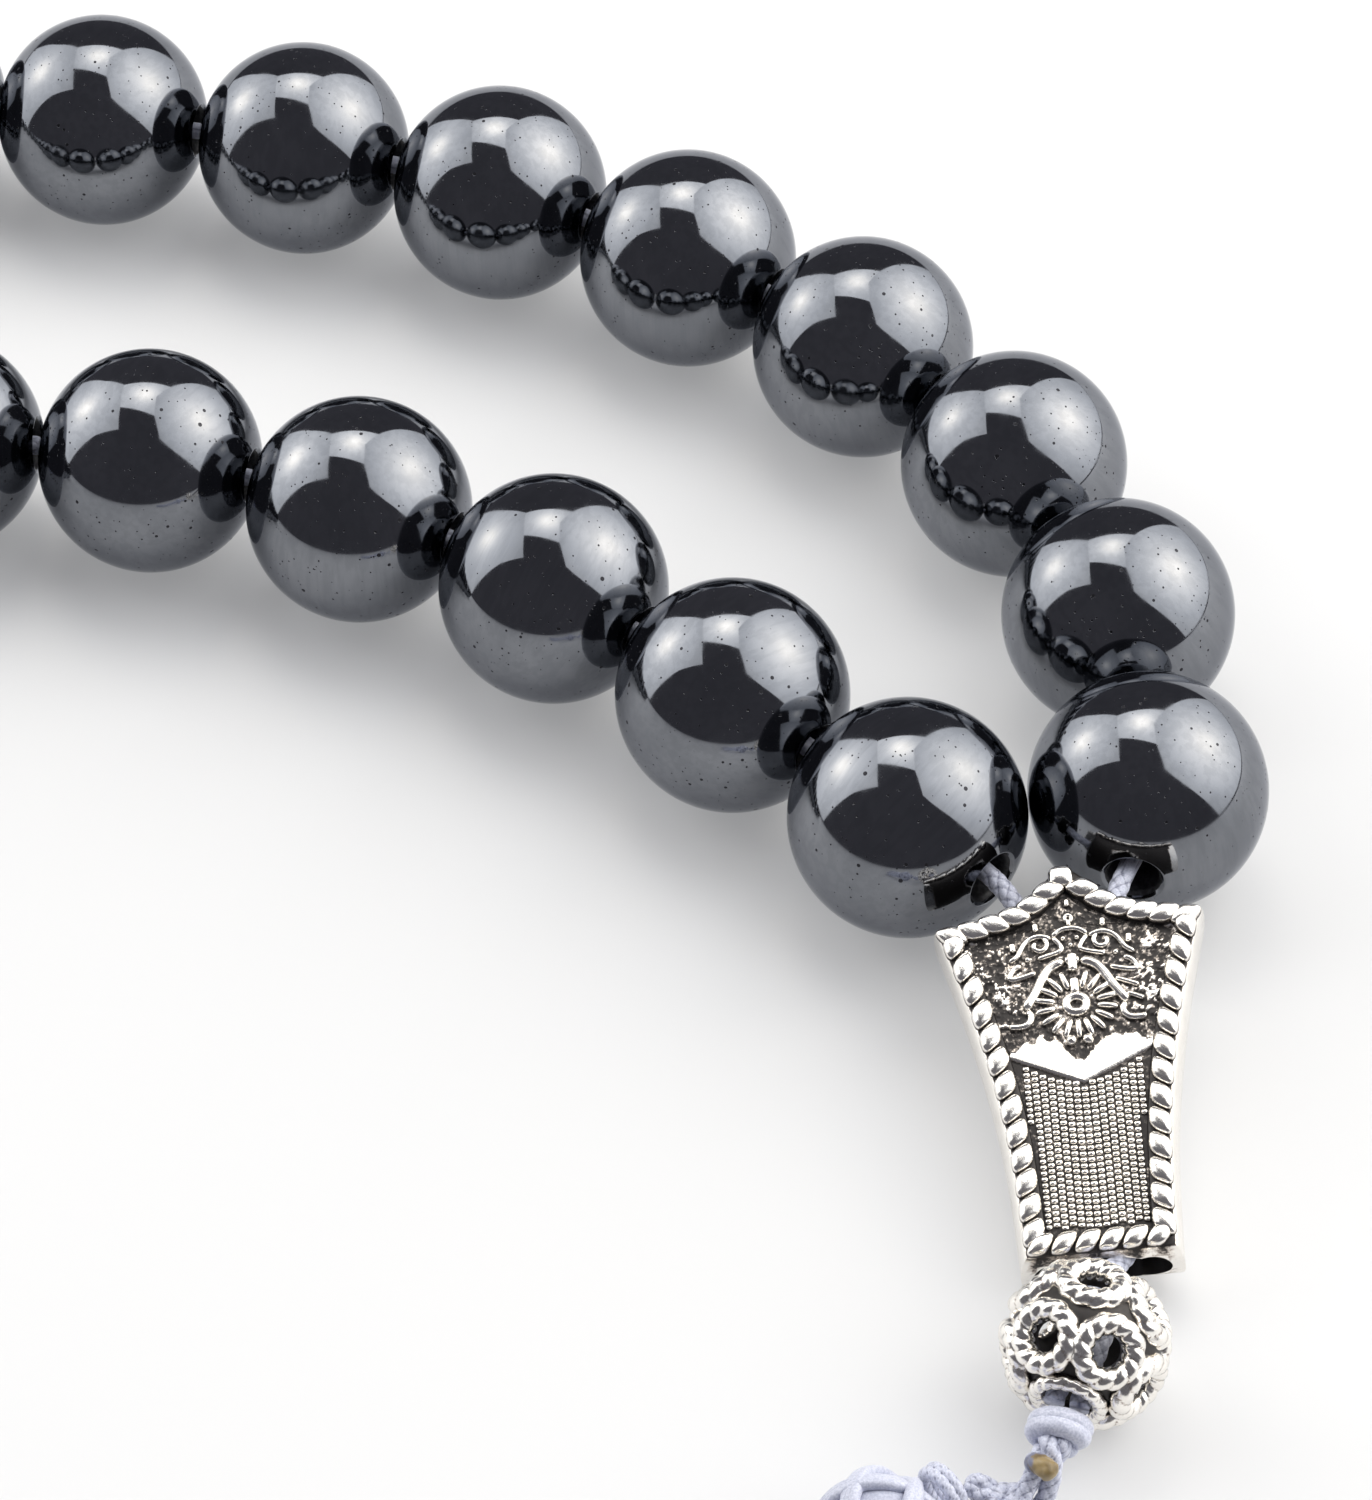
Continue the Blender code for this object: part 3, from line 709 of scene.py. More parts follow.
def imam_ring(grow):
    """The outline grown by a distance, as evenly matched points for a loft, in millimetres."""
    side = offset(spline_through(IMAM_SIDE, 60), grow)
    roof = offset(spline_through(IMAM_ROOF, 40), grow)
    side = side[side[:, 1] > side[0, 1] - 1]
    corner = (side[-1] + roof[0]) / 2
    side = side + (corner - side[-1]) * (np.linspace(0, 1, len(side)) ** 6)[:, None]
    roof = roof + (corner - roof[0]) * ((1 - np.linspace(0, 1, len(roof))) ** 6)[:, None]
    roof[:, 0] = np.maximum(roof[:, 0], 0.0)
    roof[-1, 0] = 0.0
    bottom = -grow
    side[:, 1] = bottom + (side[:, 1] - side[0, 1]) * (side[-1, 1] - bottom) / (side[-1, 1] - side[0, 1])
    right = np.concatenate([side, roof[1:]])
    left = right[-2::-1] * (-1, 1)
    floor = np.linspace(left[-1], right[0], 12)[1:-1]
    return np.concatenate([right, left, floor])


def imam_body_mesh():
    """The cast body: bulging polished sides, a flat back, and a rim round the sunk field."""
    levels = (
        (-0.55, -3.50), (-0.30, -3.47), (-0.08, -3.36), (0.10, -3.15), (0.24, -2.75), (0.30, -2.25),
        (0.30, -1.70), (0.26, -1.20), (0.18, -0.75), (0.08, -0.40), (-0.03, -0.20), (-0.14, -0.12),
        (-0.30, -0.10), (-0.95, -0.10), (-1.05, -0.16), (-1.10, -0.30), (-1.12, -0.45),
    )
    shape = Shape()
    rings = [imam_ring(grow) for grow, _ in levels]
    count = len(rings[0])
    x, y = np.concatenate(rings).T
    grow, z = np.repeat(levels, count, axis=0).T
    stain = value_noise(x + 20, z + 20, 0.6, 12)
    wall = z < -0.15
    on_roof = y > 17.4 + 0.3 * (np.abs(x) > 5.9)
    under = (y < 0.25) & (np.abs(x) < 3.3)
    patina = np.where((grow < -0.12) & (z > -0.5), 0.92, 0.02)
    # the walls round the pointed top are made dark
    patina = np.where(wall & on_roof, 0.85, patina)
    patina = np.where(wall & under, 0.22 + 0.45 * stain, patina)
    caps = [np.arange(count)[::-1][None], (np.arange(count) + count * (len(levels) - 1))[None]]
    points = np.stack([x, y, z], axis=1) * MM
    shape.add(points, [grid_faces(len(levels), count, wrap_columns=True)] + caps, patina)
    return shape.mesh("imam_body")


def bore_cutter(x, half_width, half_height, start, end):
    """A closed oval cylinder up the imam, which is deleted once it has cut."""
    ring = ring_points(turns(48), half_width, half_height)[:, [0, 2, 1]] + (x, 0, IMAM_MIDDLE)
    shape = Shape()
    points = np.concatenate([ring + (0, start, 0), ring + (0, end, 0)]) * MM
    caps = [np.arange(48)[None], (np.arange(48)[::-1] + 48)[None]]
    shape.add(points, [grid_faces(2, 48, wrap_columns=True)[:, ::-1]] + caps, 0.8)
    return linked("bore_cutter", shape.mesh("bore_cutter"))


def drilled(obj, cutters):
    """The object with each cutter's shape taken out of it, as a plain mesh."""
    for cutter in cutters:
        modifier = obj.modifiers.new("bore", "BOOLEAN")
        modifier.operation = "DIFFERENCE"
        modifier.solver = "MANIFOLD"  # EXACT empties a solid this small
        modifier.object = cutter
    bpy.context.view_layer.update()
    evaluated = obj.evaluated_get(bpy.context.evaluated_depsgraph_get())
    cut = bpy.data.meshes.new_from_object(evaluated)
    obj.modifiers.clear()
    obj.data = cut
    for cutter in cutters:
        bpy.data.objects.remove(cutter)
    cut.shade_smooth()
    cut.set_sharp_from_angle(angle=radians(38))


def darken_bores(obj):
    """Oxidises the faces inside the drilled channels, and none of the walls round their mouths."""
    mesh = obj.data
    old = mesh.attributes["patina"]
    values = np.array([old.data[corner.vertex_index].value for corner in mesh.loops])
    mesh.attributes.remove(old)
    outline = imam_ring(0.0)
    right = outline[: np.argmax(outline[:, 0]) + 1]
    for polygon in mesh.polygons:
        x, y, z = np.array(polygon.center) / MM
        within = abs(x) < np.interp(y, right[:, 1], right[:, 0]) - 0.35
        if within and -3.2 < z < -0.35 and 0.15 < y < 18.9 - 0.33 * abs(x):
            values[polygon.loop_indices] = 1.0
    made = mesh.attributes.new("patina", "FLOAT", "CORNER")
    made.data.foreach_set("value", values)


def field_width(height):
    """Half width of the sunk field at a height up the face."""
    inner = imam_ring(-1.08)
    right = inner[: len(inner) // 2]
    right = right[: np.argmax(right[:, 1]) + 1]
    return np.interp(height, right[:, 1], right[:, 0])


def band_edges(x):
    """Lower and upper edge of the polished band at a place across the field: a V below, ragged above."""
    lower = 8.72 + 0.46 * np.abs(x)
    ragged = value_noise(x + 40, x * 0 + 3, 0.35, 5) - 0.5
    upper = 11.35 - 0.40 * np.clip(np.abs(x) - 1.9, 0, 2) ** 1.3 - 1.25 * np.exp(-((x / 0.85) ** 2))
    return lower, upper + 0.45 * ragged


def imam_field_mesh():
    """The sunk field as a fine relief: grainy and oxidised, with the smooth rubbed band across it."""
    rows, columns = 260, 150
    total = rows * columns
    y = np.linspace(1.02, IMAM_ROOF[-1][1] - 1.45, rows)[:, None]
    x = np.linspace(-1, 1, columns)[None] * field_width(y)
    y = np.broadcast_to(y, x.shape)
    grain = value_noise(x + 30, y + 30, 0.16, 1) * 0.6 + value_noise(x + 30, y + 30, 0.07, 2) * 0.4
    lower, upper = band_edges(x)
    rag = 0.10 * (value_noise(x + 20, y + 20, 0.12, 7) - 0.5)
    band = np.clip((y - lower) / 0.10, 0, 1) * np.clip((upper + 2 * rag - y) / 0.14, 0, 1)
    bricks = np.clip((lower - y) / 0.05, 0, 1)
    rubbed = np.clip((np.abs(x) / field_width(y) - 0.55) / 0.3, 0, 1) * (y > 12) * (y < 17)
    worn = rubbed * np.clip((value_noise(x + 9, y + 9, 0.55, 4) - 0.42) / 0.12, 0, 1)
    bright = np.clip((grain - 0.50) / 0.10, 0, 1) * (0.34 + 0.66 * worn)
    open_field = (1 - band) * (1 - bricks)
    height = IMAM_FIELD + 0.07 * (grain - 0.5) * open_field + 0.09 * band + 0.05 * worn * (1 - band)
    patina = np.clip((0.71 - 0.05 * bricks) * (1 - band) - 0.62 * bright * open_field, 0.0, 1.0)
    points = np.stack([x, y, height], axis=-1).reshape(-1, 3)
    under = points * (1, 1, 0) + (0, 0, IMAM_FIELD - 0.35)
    shape = Shape()
    front = grid_faces(rows, columns)
    index = np.arange(total).reshape(rows, columns)
    edge = np.concatenate([index[0], index[1:, -1], index[-1, -2::-1], index[-2:0:-1, 0]])
    ahead = np.roll(edge, -1)
    wall = np.stack([edge, edge + total, ahead + total, ahead], axis=1)
    patina = np.concatenate([patina.ravel(), np.ones(total)])
    shape.add(np.concatenate([points, under]) * MM, [front, front[:, ::-1] + total, wall], patina)
    return shape.mesh("imam_field")


def rope_lumps():
    """(place, heading, side) of each lump of the rope border, in the face's plane."""
    lumps = []
    side = offset(spline_through(IMAM_SIDE, 200), -ROPE_INSET)
    for y in np.linspace(1.25, 16.55, 13):
        x, x_ahead = np.interp((y, y + 0.3), side[:, 1], side[:, 0])
        lumps.append(((x, y), (x_ahead - x, 0.3), 1.0))
    roof = offset(spline_through(IMAM_ROOF, 200), -ROPE_INSET)
    roof = roof[roof[:, 0] > 0.3]
    run = lengths_along(roof)
    for at in np.linspace(0.10, 0.90, 6) * run[-1]:
        here, ahead = picked(roof, run, at), picked(roof, run, at + 0.3)
        lumps.append((here, ahead - here, 1.0))
    lumps += [((-x, y), (-hx, hy), -side) for (x, y), (hx, hy), side in list(lumps)]
    lumps.append(((-0.15, 19.66), (1.0, 0.0), 0.0))
    for x in np.linspace(-2.78, 2.78, 6):
        lumps.append(((x, 0.60), (1.0, 0.0), 1.35))
    return lumps


def imam_rope_mesh():
    shape = Shape()
    for (x, y), heading, slant in rope_lumps():
        along = unit(np.array((*heading, 0.0)))
        size = (0.615 if y > 0.7 else 0.53, 0.56, 0.42)
        across = np.cross(UP, along)
        pillow(shape, (x, y, -0.10), along, across, UP, size, 0.68, 14, 28, (2.0, -0.40), 0.42 * slant)
    return shape.mesh("imam_rope")


def ornament_lines():
    """Scrolls, arch and dashes as lists of points, each with its line's radius."""
    lines = []

    def both(points, radius):
        lines.append((points, radius))
        lines.append(([(-x, y) for x, y in points], radius))

    both([(3.05, 15.40), (2.60, 15.70), (2.30, 16.20), (1.85, 16.58), (1.30, 16.62), (0.90, 16.45)], 0.11)
    both([(1.30, 16.55), (1.13, 16.22), (1.28, 15.93), (1.62, 15.90), (1.78, 16.15), (1.62, 16.32)], 0.10)
    both([(0.85, 16.55), (0.62, 16.25), (0.45, 15.85), (0.75, 15.68), (1.65, 15.45)], 0.10)
    lines.append(([(-0.85, 16.55), (-0.5, 16.85), (0.0, 16.95), (0.5, 16.85), (0.85, 16.55)], 0.11))
    both([(1.75, 14.75), (2.65, 14.50), (3.05, 14.52), (2.95, 14.85), (2.62, 15.12), (2.42, 15.15)], 0.11)
    both([(0.35, 15.18), (0.95, 15.00), (1.45, 14.45), (1.95, 13.55), (2.35, 12.95), (2.45, 12.75)], 0.20)
    both([(2.40, 12.75), (2.20, 12.45), (2.35, 12.08), (2.75, 11.93), (3.35, 11.98)], 0.14)
    lines.append(([(-0.35, 15.18), (0.0, 15.22), (0.35, 15.18)], 0.17))
    lines.append(([(0.0, 15.55), (0.0, 15.05), (0.0, 14.60)], 0.21))
    lines.append(([(0.0, 14.25), (0.0, 13.80), (0.0, 13.45)], 0.18))
    lines.append(([(0.0, 18.45), (0.0, 18.30), (0.0, 18.12)], 0.13))
    lines.append(([(0.0, 17.35), (0.0, 17.22), (0.0, 17.10)], 0.10))
    both([(1.65, 17.30), (1.63, 17.12), (1.62, 16.92)], 0.13)
    both([(2.82, 16.35), (2.80, 16.12), (2.78, 15.92)], 0.13)
    lines.append(([(1.95, 14.10), (2.55, 13.85), (3.10, 13.60)], 0.10))
    lines.append(([(2.45, 13.25), (2.85, 13.08), (3.25, 12.88)], 0.10))
    return lines


# (x, height, radius)
ORNAMENT_DOTS = (
    (-0.33, 16.42, 0.13), (0.33, 16.42, 0.13), (0.0, 16.05, 0.13), (-2.12, 15.45, 0.15),
    (2.12, 15.45, 0.15), (-0.40, 10.98, 0.29), (0.40, 10.98, 0.29),
)


def imam_ornament_mesh():
    """The cast ornament: scroll crown, arch, rosette and dots, standing up from the field."""
    shape = Shape()
    level = IMAM_FIELD + 0.06
    for points, radius in ornament_lines():
        path = spline_through(points, max(12, int(16 * len(points) / 3)))
        path = np.column_stack([path, np.full(len(path), level)]) * MM
        radii = 1.18 * radius * MM * rounded_ends(len(path), 0.10)
        swept(shape, path, radii[:, None] * (1.0 + 0.35 * np.abs(np.sin(turns(14)))), 14)
    hub = np.array((0.0, 12.90, level))
    swept(shape, (ring_points(turns(40), 0.48, 0.43) + hub) * MM, 0.24 * MM, 14, closed=True)
    dot_ring = ring_points(turns(40), 0.16, 0.17) + (0.0, 17.5, level)
    swept(shape, dot_ring * MM, 0.11 * MM, 12, closed=True)
    for turn in turns(18)[1:] + pi / 2:  # the arch's keystone takes the first ray's place
        out, across = spokes(turn)
        centre = hub + out * (1.36 + 0.14 * abs(cos(turn))) * (1, 0.95, 1)
        pillow(shape, centre, out, across, UP, (0.52, 0.155, 0.24), 0.7, 8, 16, (0.2, 0.0))
    for x, y, radius in ORNAMENT_DOTS:
        pillow(shape, (x, y, level), *FACE_AXES, (radius, radius, radius + 0.05), 1.0, 10, 16, 0.05)
    return shape.mesh("imam_ornament")


def imam_bricks_mesh():
    """Rows of small rounded bricks, bowed a little, between the rope border and the polished band."""
    shape = Shape()
    for column in range(-7, 8):
        x = column * BRICK_PITCH
        start = 1.42 + (0.020 * column * column) % BRICK_RISE
        for row in range(32):
            y = start + row * BRICK_RISE
            if y > band_edges(np.array(x))[0] - 0.10 or abs(x) > field_width(y) - 0.12:
                continue
            rub = value_noise(np.array(x + 11), np.array(y + 11), 0.8, 9)
            size = (0.173, 0.129, 0.12 + 0.03 * rub)
            pillow(shape, (x, y, IMAM_FIELD + 0.01), *FACE_AXES, size, 0.62, 6, 12, (0.60, 0.06))
    return shape.mesh("imam_bricks")


def add_imam(silver):
    matrix = imam_matrix()
    body = add_piece("imam_body", imam_body_mesh(), silver, "imam", None, ("imam",))
    cutters = [bore_cutter(0.0, MOUTH_HALF_WIDTH, MOUTH_HALF_WIDTH * MOUTH_SQUASH, -2.0, MOUTH_DEPTH)]
    for x in (-CHANNEL_X, CHANNEL_X):
        cutters.append(bore_cutter(x, CHANNEL_RADIUS, CHANNEL_RADIUS, -2.0, 24.0))
    drilled(body, cutters)
    darken_bores(body)
    body.matrix_world = matrix
    for name, mesh in (
        ("imam_field", imam_field_mesh()),
        ("imam_rope_border", imam_rope_mesh()),
        ("imam_ornament", imam_ornament_mesh()),
        ("imam_brick_panel", imam_bricks_mesh()),
    ):
        add_piece(name, mesh, silver, "imam", matrix)


# ---- openwork ball

BALL_OUTSIDE, BALL_INSIDE = (3.50, 3.20), (2.85, 2.65)  # half width and half height of its shell, in mm
BALL_WINDOW_RADIUS = 0.78 * MM
BALL_RING_RADIUS = 1.25 * MM
BALL_WIRE_RADIUS = 0.55 * MM
BALL_RING_LATITUDE = radians(27.5)
BALL_REACH = 3.46 * MM  # from the ball's centre to the middle of the rings' wire
END_RING_RADIUS, END_RING_HEIGHT, END_WIRE_RADIUS = 1.50 * MM, 3.02 * MM, 0.37 * MM


def twisted_ring(shape, centre, axis, radius, wire, twists):
    """A closed ring of two wires twisted together."""
    matrix = np.array(axis_matrix(centre, axis, (0.31, 0.17, -0.93)))
    turn, around = turns(120), turns(16)
    path = moved(matrix, ring_points(turn, radius, radius))
    lobes = np.abs(np.cos(around - twists * turn[:, None] / 2))
    oxide = 0.50 - 0.80 * np.clip(lobes * 2.2 - 0.25, 0, 1)
    oxide = np.maximum(oxide, np.clip(-2.0 * np.sin(around) - 0.6, 0, 1))  # never rubbed inside the ball
    swept(shape, path, wire * (0.85 + 0.17 * lobes), 16, matrix[:3, 2], closed=True, patina=oxide)


def ring_directions():
    """Directions, in the ball's own frame, of the twelve rings' middles."""
    found = []
    for row in (-1, 1):
        for i in range(6):
            turn = 2 * pi * (i - 0.25 * row + 0.25) / 6
            lat = row * BALL_RING_LATITUDE
            found.append(np.array((-sin(turn) * cos(lat), cos(turn) * cos(lat), sin(lat))))
    return found


def ball_mesh():
    """A thin dark shell with a window inside each of twelve twisted rings, and a ring at each end."""
    section = np.array(arc((0, 0), MM, -66, 66, 25))
    shell = Shape()
    turned(shell, np.concatenate([section * BALL_OUTSIDE, section[::-1] * BALL_INSIDE]), 72, patina=1.0)
    core = linked("ball_core", shell.mesh("ball_core"))
    cutters = []
    for towards in ring_directions():
        drill = Shape()
        swept(drill, np.outer((1.0 * MM, 5.0 * MM), towards), BALL_WINDOW_RADIUS, 20, (0.3, 0.2, 0.9))
        cutters.append(linked("window_cutter", drill.mesh("window_cutter")))
    drilled(core, cutters)
    points = np.array([v.co for v in core.data.vertices])
    core.data.calc_loop_triangles()
    faces = np.array([triangle.vertices for triangle in core.data.loop_triangles])
    bpy.data.objects.remove(core)
    shape = Shape()
    shape.add(points, [faces], 1.0)
    lift = np.sqrt(BALL_REACH**2 - BALL_RING_RADIUS**2)
    for towards in ring_directions():
        twisted_ring(shape, towards * lift, towards, BALL_RING_RADIUS, BALL_WIRE_RADIUS, 12)
    for side in (-1, 1):
        centre = (0, 0, side * END_RING_HEIGHT)
        twisted_ring(shape, centre, (0.0, 0.0, side), END_RING_RADIUS, END_WIRE_RADIUS, 18)
    return shape.mesh("openwork_ball")


def ball_matrix():
    joint = JOINTS["ball_spin"]
    return axis_matrix(joint["pos_m"], joint["axis"])


def add_ball(silver):
    mesh, matrix = ball_mesh(), ball_matrix()
    add_piece("silver_openwork_ball", mesh, silver, "ball", matrix, ("openwork_ball",))


# ---- stringing cord

# the loop as it lies, as in part.py's layout frame
LOOP_ROUTE = (
    (0.01082, -0.00526), (0.00292, 0.00320), (-0.00575, 0.01140), (-0.01600, 0.01820), (-0.02700, 0.02280),
    (-0.03880, 0.02530), (-0.05090, 0.02570), (-0.06300, 0.02420), (-0.07500, 0.02120), (-0.09260, 0.01780),
    (-0.10460, 0.01450), (-0.11680, 0.01240), (-0.12890, 0.01250), (-0.13970, 0.01650), (-0.14730, 0.02450),
    (-0.15040, 0.03540), (-0.14830, 0.04640), (-0.14140, 0.05520), (-0.13120, 0.06030), (-0.11940, 0.06190),
    (-0.10720, 0.06150), (-0.09510, 0.06030), (-0.08300, 0.05890), (-0.06560, 0.05740), (-0.05500, 0.05580),
    (-0.04370, 0.05380), (-0.03200, 0.05110), (-0.02005, 0.04765), (-0.00880, 0.04290), (0.00160, 0.03660),
    (0.01085, 0.02870), (0.01835, 0.01915), (0.02275, 0.00775), (0.02325, -0.00455),
)
STRAND_LEAVES = ((0.01380, -0.00860, 0.0062), (0.02170, -0.00870, 0.0062))
TAIL_OFFSET = 0.6 * MM
KNOT_AHEAD = 4.6 * MM  # the knot's middle, from the ball's
KNOT_TURNS = 2.15
KNOT_RISE, KNOT_HALF_WIDTH, KNOT_HALF_HEIGHT = 0.95 * MM, 0.68 * MM, 1.024 * MM
BRAID_STRANDS = 4  # that run each way round
CORD_SEGMENTS = 44
BEAD_COVER, DIVIDER_COVER = 5.7 * MM, 1.6 * MM  # cord on each side of their middles that never shows
COARSE_STEP, FINE_STEP = 1.0 * MM, 0.055 * MM


def cord_route():
    """The whole cord from the stopper knot, round the loop and back, through part.py's own points."""
    imam, ball = imam_matrix(), ball_matrix()
    tails = []
    for side in (-1, 1):
        in_ball = [(0.0, -side * TAIL_OFFSET, z * MM) for z in (3.3, 0.5, -2.4)]
        rises, inwards = (0.8, 4.5, 10.0, 15.0, 18.5), (0.9, 0.1, 0.0, 0.0, 0.0)
        in_imam = [(side * (CHANNEL_X - i) * MM, y * MM, IMAM_MIDDLE * MM) for y, i in zip(rises, inwards)]
        tails.append(np.concatenate([moved(ball, in_ball), moved(imam, in_imam)]))
    layout = np.array(LAYOUT_ORIGIN)
    loop = np.array([(x, y, BEAD_RADIUS) for x, y in LOOP_ROUTE]) + layout
    leaves = np.array(STRAND_LEAVES) + layout
    return np.concatenate([tails[0], leaves[:1], loop, leaves[1:], tails[1][::-1]])


def braid_surface(distance, radius, segments, pitch, relief):
    """A round braid's radii, and the painted shade at each point, which grows with how deep it lies between
    the strands that cross over there.
    """
    turn = np.linspace(0, BRAID_STRANDS, segments, endpoint=False)
    along = (distance / pitch)[:, None]
    u, v = turn + along, turn - along
    over = (np.floor(u) + np.floor(v)) % 2 < 0.5
    across_u, across_v = np.sin(pi * (u % 1)), np.sin(pi * (v % 1))
    upper, lower = np.where(over, (across_u, across_v), (across_v, across_u))
    height = upper**0.5 * (0.6 + 0.4 * lower)
    return radius * (1 - relief + relief * height), 1.05 - 1.1 * height


def add_thread_piece(name, mesh, thread, body, node):
    add_piece(name, mesh, thread, body, None, (node,))


def add_cord(thread, places):
    """One continuous braided cord, finely meshed wherever it shows between the threaded pieces."""
    dense = spline_through(cord_route(), 8000)
    run = lengths_along(dense)
    x, y, z = moved(imam_matrix().inverted(), dense).T / MM
    hidden = (np.abs(x) < 3.5) & (y > 4.0) & (y < 16.0) & (np.abs(z - IMAM_MIDDLE) < 1.5)  # inside the imam
    for body, (centre, _) in places.items():
        if body == JOINTS["bead_10_slide"]["child"]:
            continue  # it slides off the cord under it
        reach = BEAD_COVER if body.startswith("bead") else DIVIDER_COVER
        hidden |= np.linalg.norm(dense - np.array(centre), axis=1) < reach
    at, distance = [], 0.0
    while distance < run[-1]:
        at.append(distance)
        distance += COARSE_STEP if hidden[np.searchsorted(run, distance)] else FINE_STEP
    at = np.append(at, run[-1])
    path = picked(dense, run, at)
    shape = Shape()
    radii, crevice_shade = braid_surface(at, CORD_RADIUS * 1.04, CORD_SEGMENTS, 0.84 * MM, 0.20)
    swept(shape, path, radii, CORD_SEGMENTS, patina=crevice_shade)
    add_thread_piece("stringing_cord_braid", shape.mesh("stringing_cord"), thread, "cord", "stringing_cord")


# ---- knot, drop and tassel

DROP_ROUTE = (
    (0.01435, -0.04150, 0.0031), (0.01385, -0.04215, 0.0023), (0.01300, -0.04270, 0.0017),
    (0.01190, -0.04260, 0.0021), (0.01080, -0.04200, 0.0030),
)
MELTED_ENDS = (
    ((0.0136, -0.0416, 0.0034), (0.0146, -0.0428, 0.0040)),
    ((0.0120, -0.0431, 0.0028), (0.0112, -0.0441, 0.0020)),
)
SKIRT_ROUTE = (
    (-0.00220, -0.05200), (-0.00520, -0.05600), (-0.00760, -0.06150), (-0.00920, -0.06800),
    (-0.01020, -0.07500), (-0.01090, -0.08300), (-0.01140, -0.09100),
)
HEAD_RADIUS, HEAD_CORE_RADIUS, HEAD_STRAND_RADIUS = 3.2 * MM, 2.62 * MM, 0.30 * MM
HEAD_STRAND_STEP = 0.13  # from one strand to the next, in radians
HEAD_LEADS, HEAD_BIGHTS = 4, 5  # times round the head, and bends at each end
COLLAR_HEIGHTS = (-3.95 * MM, -3.55 * MM)
COLLAR_RADIUS, COLLAR_STRAND_RADIUS = 1.08 * MM, 0.31 * MM
BINDING_START, BINDING_LENGTH = 3.65 * MM, 2.7 * MM
BINDING_RADIUS, BINDING_CORE_RADIUS, BINDING_THREAD_RADIUS = 1.93 * MM, 1.86 * MM, 0.17 * MM
NECK_RADIUS = 1.75 * MM
SKIRT_HALF_WIDTH, SKIRT_HALF_HEIGHT = 5.0 * MM, 1.95 * MM  # at its end
SKIRT_THREAD_RADIUS = 0.21 * MM
SKIRT_AHEAD = 6.1 * MM  # where it starts, from the head's middle
SKIRT_THREADS = 210
BINDING_TURNS = 9
RELIEF = 0.17  # how far a braid's strands stand up, as a share of its radius


def braided(
    shape, path, radius, segments=28, reference=UP, closed=False, singed=0.0, taper=0.06, relief=RELIEF
):
    """A braided strand along a path, its ends rounded off unless it closes on itself."""
    radii, crevice_shade = braid_surface(lengths_along(path), radius, segments, 1.5 * radius, relief)
    if not closed:
        radii = radii * rounded_ends(len(path), taper)[:, None]
    # painted shade between the strands, weaker where the relief is low, with the singed marks added on top
    crevice_shade = crevice_shade * min(1.0, relief / RELIEF) + np.reshape(singed, (-1, 1))
    swept(shape, path, radii, segments, reference, closed, crevice_shade)


def add_knot(thread):
    """The stopper knot: the two ends wound round themselves and pulled tight under the ball."""
    matrix = ball_matrix()
    shape = Shape()
    turn = np.linspace(-0.15 * pi, 2 * pi * KNOT_TURNS, 260)
    rise = (turn / turn[-1] - 0.5) * KNOT_RISE + KNOT_AHEAD
    coil = ring_points(turn, KNOT_HALF_WIDTH, KNOT_HALF_HEIGHT * (1.0 + 0.12 * np.cos(turn)), rise)
    along = np.array(matrix)[:3, 2]
    braided(shape, moved(matrix, coil), CORD_RADIUS, reference=along, taper=0.03, relief=0.05)
    end = [(0.0, 0.25, 3.9), (0.1, 0.2, 4.6), (0.15, 0.1, 5.3)]
    for side in (-1, 1):
        core = spline_through(moved(matrix, np.array(end) * (1, side, 1) * MM), 50)
        braided(shape, core, CORD_RADIUS)
    add_thread_piece("stopper_knot_coil", shape.mesh("stopper_knot"), thread, "cord", "stopper_knot")


def add_drop(thread):
    """The tails laid round each other from the knot to the tassel, with singed, melted ends."""
    knot = middle_of("stopper_knot")
    knot += (knot - middle_of("openwork_ball")) * 0.08
    route = np.concatenate([[knot], np.array(DROP_ROUTE) + LAYOUT_ORIGIN])
    middle = spline_through(route, 160)
    across, up = frames_along(middle, UP)
    shape = Shape()
    share = np.linspace(0, 1, len(middle))
    spread = np.interp(share, (0, 0.2, 0.42, 0.65, 0.9, 1), (0.40, 0.42, 0.62, 0.62, 0.26, 0.18)) * MM
    for k in range(3):
        turn = 2 * pi * k / 3 + 1.5 * 2 * pi * share + 0.8 * np.sin(9 * share)
        path = middle + across * (spread * np.cos(turn))[:, None] + up * (spread * np.sin(turn))[:, None]
        braided(shape, path, 0.45 * MM)
    # two melted ends stand out of the knotting
    for start, end in MELTED_ENDS:
        bend = np.add(start, end) / 2 + (0, 0, 0.0003)
        path = spline_through(np.array([start, bend, end]) + LAYOUT_ORIGIN, 40)
        braided(shape, path, 0.52 * MM, singed=np.linspace(0.0, 2.6, 40), taper=0.2)
    add_thread_piece("twisted_drop", shape.mesh("drop_braid"), thread, "drop", "drop_braid")


def head_matrix():
    """The tassel head's frame: Z along the tassel, away from the drop."""
    centre = middle_of("tassel_head")
    axis = middle_of("tassel_binding") - centre
    axis.z = 0.0
    return axis_matrix(centre, axis)


